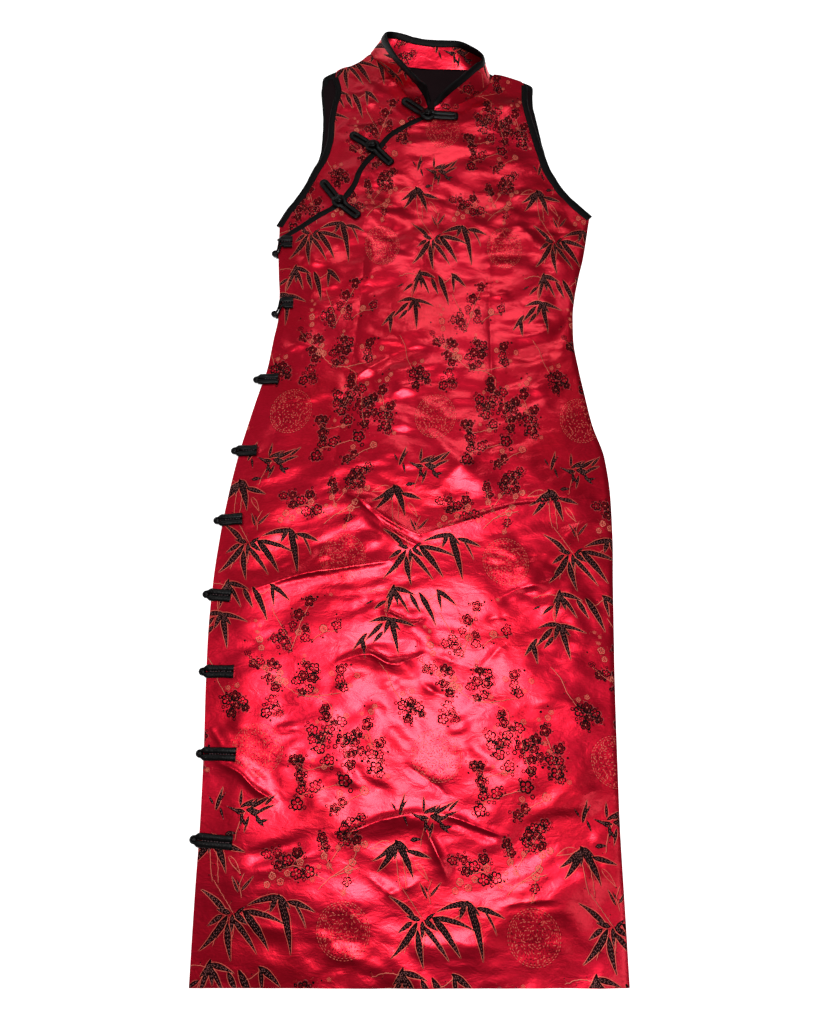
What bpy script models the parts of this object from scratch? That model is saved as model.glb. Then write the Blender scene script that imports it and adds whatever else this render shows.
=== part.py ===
"""Sleeveless cheongsam dress, laid flat on its back.

The dress lies in the XY plane with the hem towards -Y and the stand collar
towards +Y.  The back panel rests on the ground plane z = 0, the front panels
lie on it with a little air and their folds, and the stiff stand collar keeps
its ring shape.  Left and right are the viewer's, looking down on the front.

Lengths below are millimetres.  x is measured from the dress's middle, h is
the height above the hem, z is the height above the ground.
"""
import bpy
import bmesh
import math
import numpy as np
from mathutils import Vector
from mathutils.geometry import delaunay_2d_cdt

for old in list(bpy.data.objects):
    bpy.data.objects.remove(old, do_unlink=True)

MM = 0.001

# ------------------------------------------------------------ driving sizes
CLOTH = 1.2            # wall of the brocade panels
LINING = 1.0           # wall of the dark lining
SEAM = 0.3             # space between neighbouring pieces
AIR = 0.6              # least air between the laid layers
BINDING = 7.0          # width of the bias bindings
BINDING_WALL = 1.5     # wall of the bias bindings
COLLAR_WALL = 1.8      # collar with its stiffening
COLLAR_BINDING = 8.0   # depth of the binding on the collar's top edge
COLLAR_BINDING_WALL = 2.4
NECK_CLEAR = 2.4       # neck edge of the panels to the collar's middle
UNDERLAP = 25.0        # how far the small front runs under the large one
EDGE_LIFT = 2.5        # height of the side edge over the knots' tails
LATTICE = 25.0         # spacing of the cloth's facets
CORD = 3.0             # thickness of the frogs' cord
BAR = 7.4              # width of a frog's doubled cord
SIDE_BAR = 13.4        # width of a side frog, whose cord is doubled twice


def table(columns, rows):
    """A short table: {column name: array of its values}."""
    names = columns.split()
    return {n: np.array([r[i] for r in rows], float) for i, n in enumerate(names)}


# Half widths of the dress down its two sides.
SIDES = table("h left right", [
    (0, -214.5, 211.5),
    (60, -215.2, 212.4),
    (130, -214.8, 213.2),
    (210, -216.4, 216.0),
    (290, -220.0, 219.5),
    (350, -221.6, 223.0),
    (400, -220.3, 226.0),
    (450, -216.5, 229.4),
    (500, -210.3, 230.6),
    (545, -202.7, 227.5),
    (590, -192.5, 215.5),
    (630, -182.5, 209.0),
    (660, -174.5, 204.5),
    (700, -169.0, 200.4),
    (735, -164.4, 201.7),
    (760, -164.6, 205.4),
    (790, -166.8, 212.2),
    (820, -168.6, 220.3),
    (850, -169.4, 226.4),
    (876, -170.2, 231.4),
    (886, -170.4, 233.2),
])

# Left armhole from the underarm to the shoulder: the edge of the back, which
# peeps out, and the edge of the front.
ARMHOLE_LEFT = table("h back front", [
    (876, -170.2, -169.8),
    (892, -163.2, -162.4),
    (908, -153.4, -152.4),
    (923, -144.9, -143.6),
    (939, -137.6, -135.8),
    (955, -131.6, -129.0),
    (971, -124.4, -121.0),
    (988, -120.8, -115.6),
    (1004, -120.0, -112.4),
    (1036, -119.8, -111.0),
    (1062, -121.6, -107.6),
    (1085, -124.0, -103.6),
    (1106, -122.0, -108.0),
])

# Right armhole from the underarm to the shoulder.
ARMHOLE_RIGHT = table("h back front", [
    (886, 233.2, 232.6),
    (892, 227.1, 226.5),
    (908, 212.6, 212.0),
    (923, 201.5, 200.9),
    (939, 193.2, 192.4),
    (955, 186.1, 185.0),
    (988, 178.4, 176.2),
    (1021, 173.4, 168.2),
    (1048, 169.3, 162.4),
    (1065, 167.3, 159.8),
    (1092, 168.5, 160.4),
])

# Shoulder lines from the armhole tip to the neck.
SHOULDER_LEFT = table("x h", [(-122, 1106), (-112, 1113.5), (-96, 1125), (-84, 1129), (-70, 1138), (-59.5, 1149)])
SHOULDER_RIGHT = table("x h", [(168.5, 1092), (157.8, 1099), (142.8, 1106), (123.7, 1113), (112, 1114.5)])

# The diagonal opening: the edge of the large front, from the middle of the
# neck down to the side.
OPENING = table("x h", [
    (24, 1045), (5, 1034), (-15, 1022), (-31, 1009), (-44, 991), (-60, 970), (-70.5, 951),
    (-78, 930), (-87, 914), (-99.5, 898), (-121, 883), (-144, 865), (-163, 851), (-169.3, 845.5),
])

# The stand collar, a row for each section, from its left front end round the
# back of the neck to its right front end: the neck seam and the top edge.
COLLAR = table("seam_x seam_h seam_z top_x top_h top_z", [
    (20.0, 1052.0, 6.0, 27.0, 1061.0, 12.0),
    (13.0, 1058.5, 6.0, 23.0, 1066.0, 22.0),
    (-5.0, 1076.0, 6.0, 17.0, 1070.5, 28.0),
    (-15.0, 1094.0, 6.0, 7.0, 1077.5, 32.0),
    (-29.0, 1112.5, 6.0, -8.5, 1096.5, 34.0),
    (-43.0, 1132.6, 6.0, -21.0, 1114.0, 34.0),
    (-52.0, 1143.5, 6.0, -30.5, 1136.5, 32.0),
    (-56.0, 1151.5, 5.0, -35.2, 1157.0, 30.0),
    (-48.0, 1150.5, 3.6, -27.5, 1164.4, 26.5),
    (-35.0, 1142.0, 2.9, -14.5, 1166.0, 23.5),
    (-15.0, 1132.0, 2.6, 2.0, 1161.8, 21.5),
    (19.5, 1126.0, 2.5, 23.5, 1158.4, 20.0),
    (47.5, 1125.0, 2.5, 45.7, 1157.5, 19.5),
    (68.5, 1124.5, 2.6, 65.0, 1154.0, 22.0),
    (89.0, 1123.0, 3.2, 81.0, 1137.5, 29.0),
    (104.0, 1119.5, 4.4, 96.0, 1117.5, 34.0),
    (108.8, 1108.0, 5.6, 96.0, 1107.0, 34.5),
    (106.0, 1094.0, 6.0, 88.0, 1101.5, 34.0),
    (97.5, 1083.5, 6.0, 77.5, 1092.0, 33.0),
    (83.5, 1073.5, 6.0, 64.5, 1080.0, 31.0),
    (68.0, 1063.2, 6.0, 51.0, 1070.0, 28.0),
    (51.0, 1054.5, 6.0, 40.5, 1065.0, 21.0),
    (33.0, 1050.0, 6.0, 31.5, 1060.5, 12.0),
])

# Folds of the front: a line of up to four points, the half width of the fold
# and how high it stands (a dart or a trough is negative).
# name, x1, h1, x2, h2, x3, h3, x4, h4, width, height
FOLDS = [
    ("hip_v_left", -74, 503, -38, 480, -13, 462, 9, 453, 9, 6.0),
    ("hip_v_right", 9, 453, 71, 466, 139, 485, 206, 498, 9, 5.0),
    ("hip_v_lower", -63, 496, -38, 469, -16, 453, 8, 440, 7, 4.0),
    ("thigh_left", -173, 391, -128, 405, -75, 415, -23, 423, 9, 5.0),
    ("thigh_hook", -32, 366, -16, 358, 0, 354, 16, 352, 8, 3.0),
    ("knee_wave", -79, 311, -47, 319, -21, 308, 9, 316, 9, 4.0),
    ("side_crease", -183, 207, -168, 196, -156, 184, -142, 171, 7, 3.5),
    ("side_nick", -206, 245, -202, 238, -198, 231, -194, 224, 6, 2.5),
    ("shin_wave", -74, 138, -32, 148, -1, 155, 60, 149, 9, 5.0),
    ("shin_branch", 14, 144, 22, 130, 30, 115, 38, 99, 8, 3.5),
    ("hem_trough", 29, 84, 80, 114, 137, 140, 204, 146, 20, -3.5),
    ("hem_roll", 60, 52, 105, 76, 150, 92, 200, 100, 20, 4.0),
    ("thigh_roll", 34, 559, 50, 545, 63, 531, 92, 507, 13, 5.0),
    ("dart_left", -56, 869, -65, 732, -82, 601, -92, 528, 6, -0.8),
    ("dart_right", 102, 846, 98, 762, 98, 674, 96, 541, 6, -0.8),
]

# Broad soft swells of the front: middle, reach and height.
SWELLS = table("x h reach_x reach_h height", [
    (-62, 850, 62, 80, 4.2),
    (112, 855, 66, 84, 4.8),
    (20, 1000, 70, 60, 1.6),
    (20, 690, 110, 60, 1.6),
    (40, 535, 120, 46, 2.6),
    (-120, 520, 60, 50, 2.0),
    (60, 400, 110, 50, 2.4),
    (-90, 340, 80, 46, 2.2),
    (120, 290, 70, 60, 2.6),
    (-10, 220, 120, 50, 2.2),
    (-120, 110, 70, 60, 2.6),
    (120, 190, 70, 40, 2.6),
    (0, 30, 70, 40, 1.8),
])

# Frogs on the diagonal opening: the end of the knot's tail, the knot, and the
# end of the loop.
FROGS = table("tail_x tail_h knot_x knot_h loop_x loop_h", [
    (-8, 1066, 23, 1040, 61, 1038),
    (-78, 1008, -51, 988, -27, 961),
    (-115, 932, -93, 899, -69, 877),
])

# Frogs down the side opening: the inner end of the loop, and how far the knot
# stands out from the dress's edge.
SIDE_FROGS = table("loop_x loop_h knot_h out", [
    (-148, 833, 823, 5.6),
    (-146, 745, 736, 6.0),
    (-160, 647, 646, 9.5),
    (-180, 554, 554, 7.0),
    (-192, 471, 469, 7.6),
    (-199, 382, 384, 6.8),
    (-190, 300, 300, 4.8),
    (-182, 215, 216, 4.8),
    (-180, 130, 133, 6.2),
])
KNOT_RADIUS = 5.0
SIDE_KNOT_RADIUS = 4.2


# --------------------------------------------------------------- small tools
def smoothstep(a, b, v):
    t = np.clip((np.asarray(v, float) - a) / (b - a), 0.0, 1.0)
    return t * t * (3.0 - 2.0 * t)


def flow(xs, ys, at):
    """Cubic through a table's rows with slopes that never overshoot."""
    xs, ys = np.asarray(xs, float), np.asarray(ys, float)
    step = np.diff(xs)
    slope = np.diff(ys) / step
    m = np.zeros_like(ys)
    m[0], m[-1] = slope[0], slope[-1]
    for i in range(1, len(xs) - 1):
        if slope[i - 1] * slope[i] > 0.0:
            w1, w2 = 2 * step[i] + step[i - 1], step[i] + 2 * step[i - 1]
            m[i] = (w1 + w2) / (w1 / slope[i - 1] + w2 / slope[i])
    at = np.clip(np.asarray(at, float), xs[0], xs[-1])
    k = np.clip(np.searchsorted(xs, at) - 1, 0, len(step) - 1)
    t = (at - xs[k]) / step[k]
    return ((1 + 2 * t) * (1 - t) ** 2 * ys[k] + t * (1 - t) ** 2 * step[k] * m[k]
            + t * t * (3 - 2 * t) * ys[k + 1] + t * t * (t - 1) * step[k] * m[k + 1])


def left_side(h):
    return flow(SIDES["h"], SIDES["left"], h)


def right_side(h):
    return flow(SIDES["h"], SIDES["right"], h)


def resample(points, step):
    """A smooth line through the points, with a vertex about every step."""
    p = np.asarray(points, float)
    chord = np.concatenate([[0.0], np.cumsum(np.sqrt(((p[1:] - p[:-1]) ** 2).sum(1)))])
    tangent = np.zeros_like(p)
    for i in range(len(p)):
        lo, hi = max(i - 1, 0), min(i + 1, len(p) - 1)
        tangent[i] = (p[hi] - p[lo]) / (chord[hi] - chord[lo])
    n = max(int(round(chord[-1] / step)), 2)
    out = []
    for s in np.linspace(0.0, chord[-1], n + 1):
        k = min(max(int(np.searchsorted(chord, s)) - 1, 0), len(p) - 2)
        width = chord[k + 1] - chord[k]
        t = (s - chord[k]) / width
        out.append((1 + 2 * t) * (1 - t) ** 2 * p[k] + t * (1 - t) ** 2 * width * tangent[k]
                   + t * t * (3 - 2 * t) * p[k + 1] + t * t * (t - 1) * width * tangent[k + 1])
    return np.array(out)


def inset(line, width, turn, start=None, end=None):
    """The line moved sideways: turn +1 is to the left of its travel.

    start and end are the directions of the edges that it runs into, along
    which its two end points slide.
    """
    line = np.asarray(line, float)
    width = np.broadcast_to(np.asarray(width, float), (len(line),))
    tangent = np.zeros_like(line)
    tangent[1:-1] = line[2:] - line[:-2]
    tangent[0], tangent[-1] = line[1] - line[0], line[-1] - line[-2]
    tangent /= np.sqrt((tangent ** 2).sum(1))[:, None]
    normal = np.stack([-tangent[:, 1], tangent[:, 0]], 1) * turn
    out = line + normal * width[:, None]
    for i, way in ((0, start), (-1, end)):
        if way is not None:
            way = np.asarray(way, float) / np.hypot(*way)
            out[i] = line[i] + way * width[i] / max(abs(float(np.dot(way, normal[i]))), 0.35)
    return out


def line_distance(line, x, h):
    """Distance of points to a line, and how far along it they lie (0 to 1)."""
    line = np.asarray(line, float)
    q = np.stack([np.ravel(x), np.ravel(h)], 1).astype(float)
    seg = line[1:] - line[:-1]
    length = np.sqrt((seg ** 2).sum(1))
    run = np.concatenate([[0.0], np.cumsum(length)])
    best = np.full(len(q), 1e9)
    along = np.zeros(len(q))
    for i in range(len(seg)):
        t = np.clip(((q - line[i]) @ seg[i]) / (length[i] ** 2), 0.0, 1.0)
        d = np.sqrt(((q - line[i] - t[:, None] * seg[i]) ** 2).sum(1))
        near = d < best
        best[near] = d[near]
        along[near] = (run[i] + t[near] * length[i]) / run[-1]
    return best.reshape(np.shape(x)), along.reshape(np.shape(x))


def inside(outline, x, h):
    """True for points inside a closed outline."""
    o = np.asarray(outline, float)
    x, h = np.asarray(x, float), np.asarray(h, float)
    hit = np.zeros(x.shape, bool)
    for (x1, h1), (x2, h2) in zip(o, np.roll(o, -1, 0)):
        if h1 == h2:
            continue
        cross = ((h1 > h) != (h2 > h)) & (x < (x2 - x1) * (h - h1) / (h2 - h1) + x1)
        hit ^= cross
    return hit


# ------------------------------------------------------------ outline curves
def column(h0, h1, side, step=LATTICE):
    n = max(int(round(abs(h1 - h0) / step)), 1)
    hs = np.linspace(h0, h1, n + 1)
    return np.stack([side(hs), hs], 1)


def rows(t, a, b):
    return np.stack([t[a], t[b]], 1)


arm_left_back = resample(rows(ARMHOLE_LEFT, "back", "h"), 15)
arm_left_front = resample(rows(ARMHOLE_LEFT, "front", "h"), 15)
arm_right_back = resample(rows(ARMHOLE_RIGHT, "back", "h"), 15)
arm_right_front = resample(rows(ARMHOLE_RIGHT, "front", "h"), 15)
shoulder_left = resample(rows(SHOULDER_LEFT, "x", "h"), 15)
shoulder_right = resample(rows(SHOULDER_RIGHT, "x", "h"), 15)
opening = resample(rows(OPENING, "x", "h"), 12)
seam_row = rows(COLLAR, "seam_x", "seam_h")
neck_left = inset(seam_row[0:8], NECK_CLEAR, +1)      # travels from the middle up to the left
neck_back = inset(seam_row[8:16], NECK_CLEAR, -1)     # travels to the right
neck_right = inset(seam_row[17:23], NECK_CLEAR, +1)   # travels down to the middle

UNDERARM_LEFT, UNDERARM_RIGHT, OPENING_FOOT = 876.0, 886.0, 846.0
DOWN = (0.0, -1.0)
IN_LEFT_SHOULDER = (10.0, 7.5)
IN_RIGHT_SHOULDER = (-10.7, 7.0)


def snap_side(line, side, which):
    """Put the line's end point exactly on the dress's side."""
    line[which][0] = side(line[which][1])
    return line


EDGE = BINDING + SEAM
arm_lb_in = snap_side(inset(arm_left_back, EDGE, -1, DOWN, IN_LEFT_SHOULDER), left_side, 0)
arm_lf_in = snap_side(inset(arm_left_front, EDGE, -1, DOWN, IN_LEFT_SHOULDER), left_side, 0)
arm_rb_in = snap_side(inset(arm_right_back, EDGE, +1, DOWN, IN_RIGHT_SHOULDER), right_side, 0)
arm_rf_in = snap_side(inset(arm_right_front, EDGE, +1, DOWN, IN_RIGHT_SHOULDER), right_side, 0)
opening_in = snap_side(inset(opening, EDGE, +1, None, DOWN), left_side, -1)
underlap_edge = snap_side(inset(opening, UNDERLAP, +1, None, DOWN), left_side, -1)


# ------------------------------------------------------------ cloth surfaces
def fold_line(row):
    return np.array([(row[1], row[2]), (row[3], row[4]), (row[5], row[6]), (row[7], row[8])], float)


fold_lines = [(f[0], resample(fold_line(f), 14), float(f[9]), float(f[10])) for f in FOLDS]
rim = [
    np.concatenate([column(0, UNDERARM_LEFT, left_side), arm_left_front[1:], shoulder_left]),
    np.concatenate([column(0, UNDERARM_RIGHT, right_side), arm_right_front[1:], shoulder_right]),
]


def edge_lift(x, h):
    """The side edge lies on the knots' tails and so stands a little higher."""
    away = x - left_side(h)
    return (EDGE_LIFT * (1.0 - smoothstep(32, 92, away))
            * smoothstep(45, 112, h) * (1.0 - smoothstep(846, 905, h)))


def loft(x, h):
    """Air and folds between the front and what it lies on."""
    rise = np.full(np.shape(x), 0.8)
    for i in range(len(SWELLS["x"])):
        rise = rise + SWELLS["height"][i] * np.exp(
            -((x - SWELLS["x"][i]) / SWELLS["reach_x"][i]) ** 2
            - ((h - SWELLS["h"][i]) / SWELLS["reach_h"][i]) ** 2)
    for name, line, width, height in fold_lines:
        d, along = line_distance(line, x, h)
        taper = np.sin(math.pi * np.clip(0.06 + 0.88 * along, 0, 1)) ** 0.6
        rise = rise + height * taper * np.exp(-(d / width) ** 2)
    ease = 1.0
    for line in rim:
        ease = ease * smoothstep(-4, 46, line_distance(line, x, h)[0])
    return AIR + np.maximum(rise, 0.0) * ease


def back_low(x, h):
    return edge_lift(x, h)


def back_top(x, h):
    return edge_lift(x, h) + CLOTH


def over_back(x, h):
    """What the front lies on: the back, and the lining over its upper part."""
    return back_top(x, h) + SEAM + smoothstep(905, 955, h) * (LINING + SEAM)


def lining_low(x, h):
    return back_top(x, h) + SEAM


def lining_top(x, h):
    return lining_low(x, h) + LINING


def underlap_low(x, h):
    return over_back(x, h) + loft(x, h)


def underlap_top(x, h):
    return underlap_low(x, h) + CLOTH


def front_low(x, h):
    over = 1.0 - smoothstep(UNDERLAP + 8, UNDERLAP + 62, line_distance(opening, x, h)[0])
    return underlap_low(x, h) + over * (CLOTH + 2 * SEAM)


def front_top(x, h):
    return front_low(x, h) + CLOTH


# -------------------------------------------------------------- solid makers
PIECES = []     # (name, vertices in mm, faces, material)


def lattice(outline, spacing, points=None, keep=0.5):
    """Facet corners inside an outline: a triangular lattice, or given points."""
    lo, hi = outline.min(0), outline.max(0)
    rise = spacing * math.sqrt(0.75)
    grid = []
    for j in range(int(lo[1] // rise), int(hi[1] // rise) + 2):
        for i in range(int(lo[0] // spacing) - 1, int(hi[0] // spacing) + 2):
            grid.append(((i + 0.5 * (j % 2)) * spacing, j * rise))
    grid = np.array(grid)
    if points is not None and len(points):
        near = np.array([np.min(((points - g) ** 2).sum(1)) for g in grid])
        grid = np.concatenate([grid[near > (0.5 * spacing) ** 2], points])
    closed = np.concatenate([outline, outline[:1]])
    ok = inside(outline, grid[:, 0], grid[:, 1])
    ok &= line_distance(closed, grid[:, 0], grid[:, 1])[0] > keep * min(spacing, 20)
    return grid[ok]


def triangles(outline, points):
    """The outline filled with triangles whose corners are the points."""
    verts = [Vector((float(a), float(b))) for a, b in outline]
    n = len(verts)
    verts += [Vector((float(a), float(b))) for a, b in points]
    co, _, faces, _, _, _ = delaunay_2d_cdt(verts, [], [list(range(n))], 1, 1e-4)
    co = np.array([(v.x, v.y) for v in co])
    out = []
    for f in faces:
        a, b, c = co[f[0]], co[f[1]], co[f[2]]
        area = (b[0] - a[0]) * (c[1] - a[1]) - (b[1] - a[1]) * (c[0] - a[0])
        if abs(area) > 1e-3:
            out.append(tuple(f) if area > 0 else (f[0], f[2], f[1]))
    return co, out


def slab(name, outline, points, low, top, material):
    """A cloth wall between two surfaces over an outline."""
    co, tris = triangles(np.asarray(outline, float), points)
    n = len(co)
    z0, z1 = low(co[:, 0], co[:, 1]), top(co[:, 0], co[:, 1])
    verts = [(a, b, z) for (a, b), z in zip(co, z1)] + [(a, b, z) for (a, b), z in zip(co, z0)]
    faces = list(tris) + [(c + n, b + n, a + n) for a, b, c in tris]
    edges = {}
    for t in tris:
        for a, b in ((t[0], t[1]), (t[1], t[2]), (t[2], t[0])):
            edges[(a, b)] = True
    for a, b in edges:
        if (b, a) not in edges:
            faces.append((b, a, a + n))
            faces.append((b, a + n, b + n))
    PIECES.append((name, np.array(verts), faces, material))


def strip(name, edge_a, edge_b, low, top, material):
    """A narrow wall between two lines with as many points each."""
    a, b = np.asarray(edge_a, float), np.asarray(edge_b, float)
    n = len(a)
    verts, faces = [], []
    for line in (a, b):
        z0, z1 = low(line[:, 0], line[:, 1]), top(line[:, 0], line[:, 1])
        verts += [(p[0], p[1], z) for p, z in zip(line, z1)]
        verts += [(p[0], p[1], z) for p, z in zip(line, z0)]
    at, al, bt, bl = 0, n, 2 * n, 3 * n
    for i in range(n - 1):
        faces += [(at + i, bt + i, bt + i + 1, at + i + 1), (al + i, al + i + 1, bl + i + 1, bl + i),
                  (at + i, at + i + 1, al + i + 1, al + i), (bt + i, bl + i, bl + i + 1, bt + i + 1)]
    faces += [(at, al, bl, bt), (at + n - 1, bt + n - 1, bl + n - 1, al + n - 1)]
    PIECES.append((name, np.array(verts), faces, material))


def band(name, sections, wall, material):
    """A wall of even thickness along a grid of points (sections x across)."""
    g = np.asarray(sections, float)
    du = np.gradient(g, axis=0)
    dv = np.gradient(g, axis=1)
    nrm = np.cross(du, dv)
    nrm /= np.sqrt((nrm ** 2).sum(2))[:, :, None]
    rows_n, cols_n = g.shape[:2]
    outer, inner = g + nrm * wall / 2, g - nrm * wall / 2
    verts = [tuple(p) for p in outer.reshape(-1, 3)] + [tuple(p) for p in inner.reshape(-1, 3)]
    o, half = (lambda i, j: i * cols_n + j), rows_n * cols_n
    faces = []
    for i in range(rows_n - 1):
        for j in range(cols_n - 1):
            a, b, c, d = o(i, j), o(i + 1, j), o(i + 1, j + 1), o(i, j + 1)
            faces += [(a, b, c, d), (a + half, d + half, c + half, b + half)]
        for j, flip in ((0, False), (cols_n - 1, True)):
            a, b = o(i, j), o(i + 1, j)
            quad = (a, a + half, b + half, b)
            faces.append(quad[::-1] if flip else quad)
    for j in range(cols_n - 1):
        for i, flip in ((0, True), (rows_n - 1, False)):
            a, b = o(i, j), o(i, j + 1)
            quad = (a, a + half, b + half, b)
            faces.append(quad[::-1] if flip else quad)
    PIECES.append((name, np.array(verts), faces, material))


# ------------------------------------------------------------------- panels
def hem_line(step=LATTICE):
    n = int(round((right_side(0) - left_side(0)) / step))
    xs = np.linspace(float(left_side(0)), float(right_side(0)), n + 1)
    return np.stack([xs, np.zeros(n + 1)], 1)


def fold_points():
    """Extra facet corners along the folds' crests and feet."""
    out = []
    for name, line, width, height in fold_lines:
        for off in (0.0, 1.15, -1.15):
            for p in inset(line, abs(off) * width, 1 if off >= 0 else -1):
                if all((p[0] - q[0]) ** 2 + (p[1] - q[1]) ** 2 > 49 for q in out):
                    out.append(p)
    return np.array(out)


back_outline = np.concatenate([
    hem_line()[:-1],
    column(0, arm_rb_in[0][1], right_side)[:-1],
    arm_rb_in,
    shoulder_right[1:],
    neck_back[::-1],
    shoulder_left[::-1][:-1],
    arm_lb_in[::-1],
    column(arm_lb_in[0][1], 0, left_side)[1:-1],
])
coarse = lattice(back_outline, 72.0)
fine = lattice(back_outline, LATTICE)
near_edge = (fine[:, 0] - left_side(fine[:, 1]) < 100) & (fine[:, 1] > 30) & (fine[:, 1] < 925)
fine = fine[near_edge]
coarse = coarse[[np.min(((fine - c) ** 2).sum(1)) > 900 for c in coarse]]
slab("back_panel", back_outline, np.concatenate([fine, coarse]), back_low, back_top, "brocade")

LINING_FOOT = 960.0
lining_outline = np.concatenate([
    [p for p in arm_rb_in if p[1] > LINING_FOOT + 6],
    shoulder_right[1:],
    neck_back[::-1],
    shoulder_left[::-1][:-1],
    [p for p in arm_lb_in[::-1] if p[1] > LINING_FOOT + 6],
    [(-116.0, LINING_FOOT), (-60.0, LINING_FOOT), (0.0, LINING_FOOT), (60.0, LINING_FOOT),
     (120.0, LINING_FOOT), (172.0, LINING_FOOT)],
])
slab("back_lining", lining_outline, lattice(lining_outline, 48.0), lining_low, lining_top, "lining")

underlap_outline = np.concatenate([
    column(underlap_edge[-1][1], arm_lf_in[0][1], left_side)[:-1],
    arm_lf_in,
    shoulder_left[1:],
    neck_left[::-1],
    [(22.5, 1046.0)],
    underlap_edge[:-1],
])[::-1]
slab("front_underlap", underlap_outline, lattice(underlap_outline, LATTICE), underlap_low, underlap_top, "brocade")

front_outline = np.concatenate([
    hem_line()[:-1],
    column(0, arm_rf_in[0][1], right_side)[:-1],
    arm_rf_in,
    shoulder_right[1:],
    neck_right,
    opening_in,
    column(opening_in[-1][1], 0, left_side)[1:-1],
])
slab("front_panel", front_outline, lattice(front_outline, LATTICE, fold_points()), front_low, front_top, "brocade")


# ----------------------------------------------------------------- bindings
def piled(low):
    return lambda x, h: low(x, h) + BINDING_WALL


def back_binding_low(x, h):
    return back_low(x, h)


def back_binding_top(x, h):
    return back_low(x, h) + CLOTH + 0.1


def front_binding_low(x, h):
    return underlap_low(x, h) + 0.15


def trimmed(edge, turn, start, shoulder, side):
    inner = inset(edge, BINDING, turn, start, shoulder)
    return snap_side(inner, side, 0)


strip("armhole_binding_left_back", trimmed(arm_left_back, -1, DOWN, IN_LEFT_SHOULDER, left_side)[::-1],
      arm_left_back[::-1], back_binding_low, back_binding_top, "binding")
strip("armhole_binding_left_front", trimmed(arm_left_front, -1, DOWN, IN_LEFT_SHOULDER, left_side)[::-1],
      arm_left_front[::-1], front_binding_low, piled(front_binding_low), "binding")
strip("armhole_binding_right_back", trimmed(arm_right_back, +1, DOWN, IN_RIGHT_SHOULDER, right_side),
      arm_right_back, back_binding_low, back_binding_top, "binding")
strip("armhole_binding_right_front", trimmed(arm_right_front, +1, DOWN, IN_RIGHT_SHOULDER, right_side),
      arm_right_front, front_binding_low, piled(front_binding_low), "binding")


def opening_low(x, h):
    return underlap_low(x, h) + CLOTH + 2 * SEAM


opening_inner = snap_side(inset(opening, BINDING, +1, None, DOWN), left_side, -1)
strip("opening_binding", opening_inner, opening, opening_low, piled(opening_low), "binding")


# ------------------------------------------------------------------- collar
def collar_sections(share_from_top=None):
    """Smooth sections of the collar: the cloth below, or the binding on top."""
    seam = np.stack([COLLAR["seam_x"], COLLAR["seam_h"], COLLAR["seam_z"]], 1)
    top = np.stack([COLLAR["top_x"], COLLAR["top_h"], COLLAR["top_z"]], 1)
    both = resample(np.concatenate([seam, top], 1), 13.0)
    seam, top = both[:, :3], both[:, 3:]
    height = np.sqrt(((top - seam) ** 2).sum(1))
    split = 1.0 - COLLAR_BINDING / height
    gap = SEAM / height
    out = []
    for s, t, k, g in zip(seam, top, split, gap):
        span = np.linspace(0.0, k - g, 4) if share_from_top is None else np.linspace(k, 1.0, 3)
        out.append([s + (t - s) * v for v in span])
    return np.array(out)


band("collar", collar_sections(), COLLAR_WALL, "brocade")
band("collar_binding", collar_sections(True), COLLAR_BINDING_WALL, "binding")


# -------------------------------------------------------------------- frogs
def highest(tops, x, h, reach=5.0):
    """The highest cloth within a cord's reach of each point."""
    best = np.full(np.shape(x), -1e9)
    for a in np.linspace(0, 2 * math.pi, 8, endpoint=False):
        for r in (0.0, reach):
            px, ph = np.asarray(x) + r * math.cos(a), np.asarray(h) + r * math.sin(a)
            for top in tops:
                best = np.maximum(best, top(px, ph))
    return best


def bar_outline(foot, knot, near, fork_radius=None, grip=104.0, width=BAR):
    """A doubled cord from its foot to the knot, forked round it if a loop."""
    foot, knot = np.asarray(foot, float), np.asarray(knot, float)
    way = (foot - knot) / np.hypot(*(foot - knot))
    side = np.array([-way[1], way[0]])
    length = float(np.hypot(*(foot - knot)))
    half = width / 2
    pts = []
    if fork_radius is None:
        n = max(int(round((length - near) / 11)), 1)
        for k in range(n + 1):
            pts.append(knot + way * (near + (length - near) * k / n) + side * half)
        for k in range(n, -1, -1):
            pts.append(knot + way * (near + (length - near) * k / n) - side * half)
        return np.array(pts)[::-1]
    outer, inner = fork_radius + 2.8, fork_radius
    join = math.asin(half / outer)
    grip = math.radians(grip)
    for a in np.linspace(-grip, -join, 4):
        pts.append(knot + outer * (math.cos(a) * way + math.sin(a) * side))
    n = max(int(round((length - outer) / 11)), 1)
    for k in range(1, n + 1):
        pts.append(knot + way * (outer + (length - outer) * k / n) - side * half)
    for k in range(n, 0, -1):
        pts.append(knot + way * (outer + (length - outer) * k / n) + side * half)
    for a in np.linspace(join, grip, 4):
        pts.append(knot + outer * (math.cos(a) * way + math.sin(a) * side))
    for a in np.linspace(grip, -grip, 7):
        pts.append(knot + inner * (math.cos(a) * way + math.sin(a) * side))
    return np.array(pts)


def ball(centre, radius, flat):
    """A round knot as a closed mesh, in mm."""
    bm = bmesh.new()
    bmesh.ops.create_icosphere(bm, subdivisions=2, radius=1.0)
    verts = [(centre[0] + v.co.x * radius, centre[1] + v.co.y * radius, centre[2] + v.co.z * radius * flat)
             for v in bm.verts]
    faces = [tuple(v.index for v in f.verts) for f in bm.faces]
    bm.free()
    return verts, faces


KNOTS = []      # (name, tail piece, ball piece)

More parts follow.
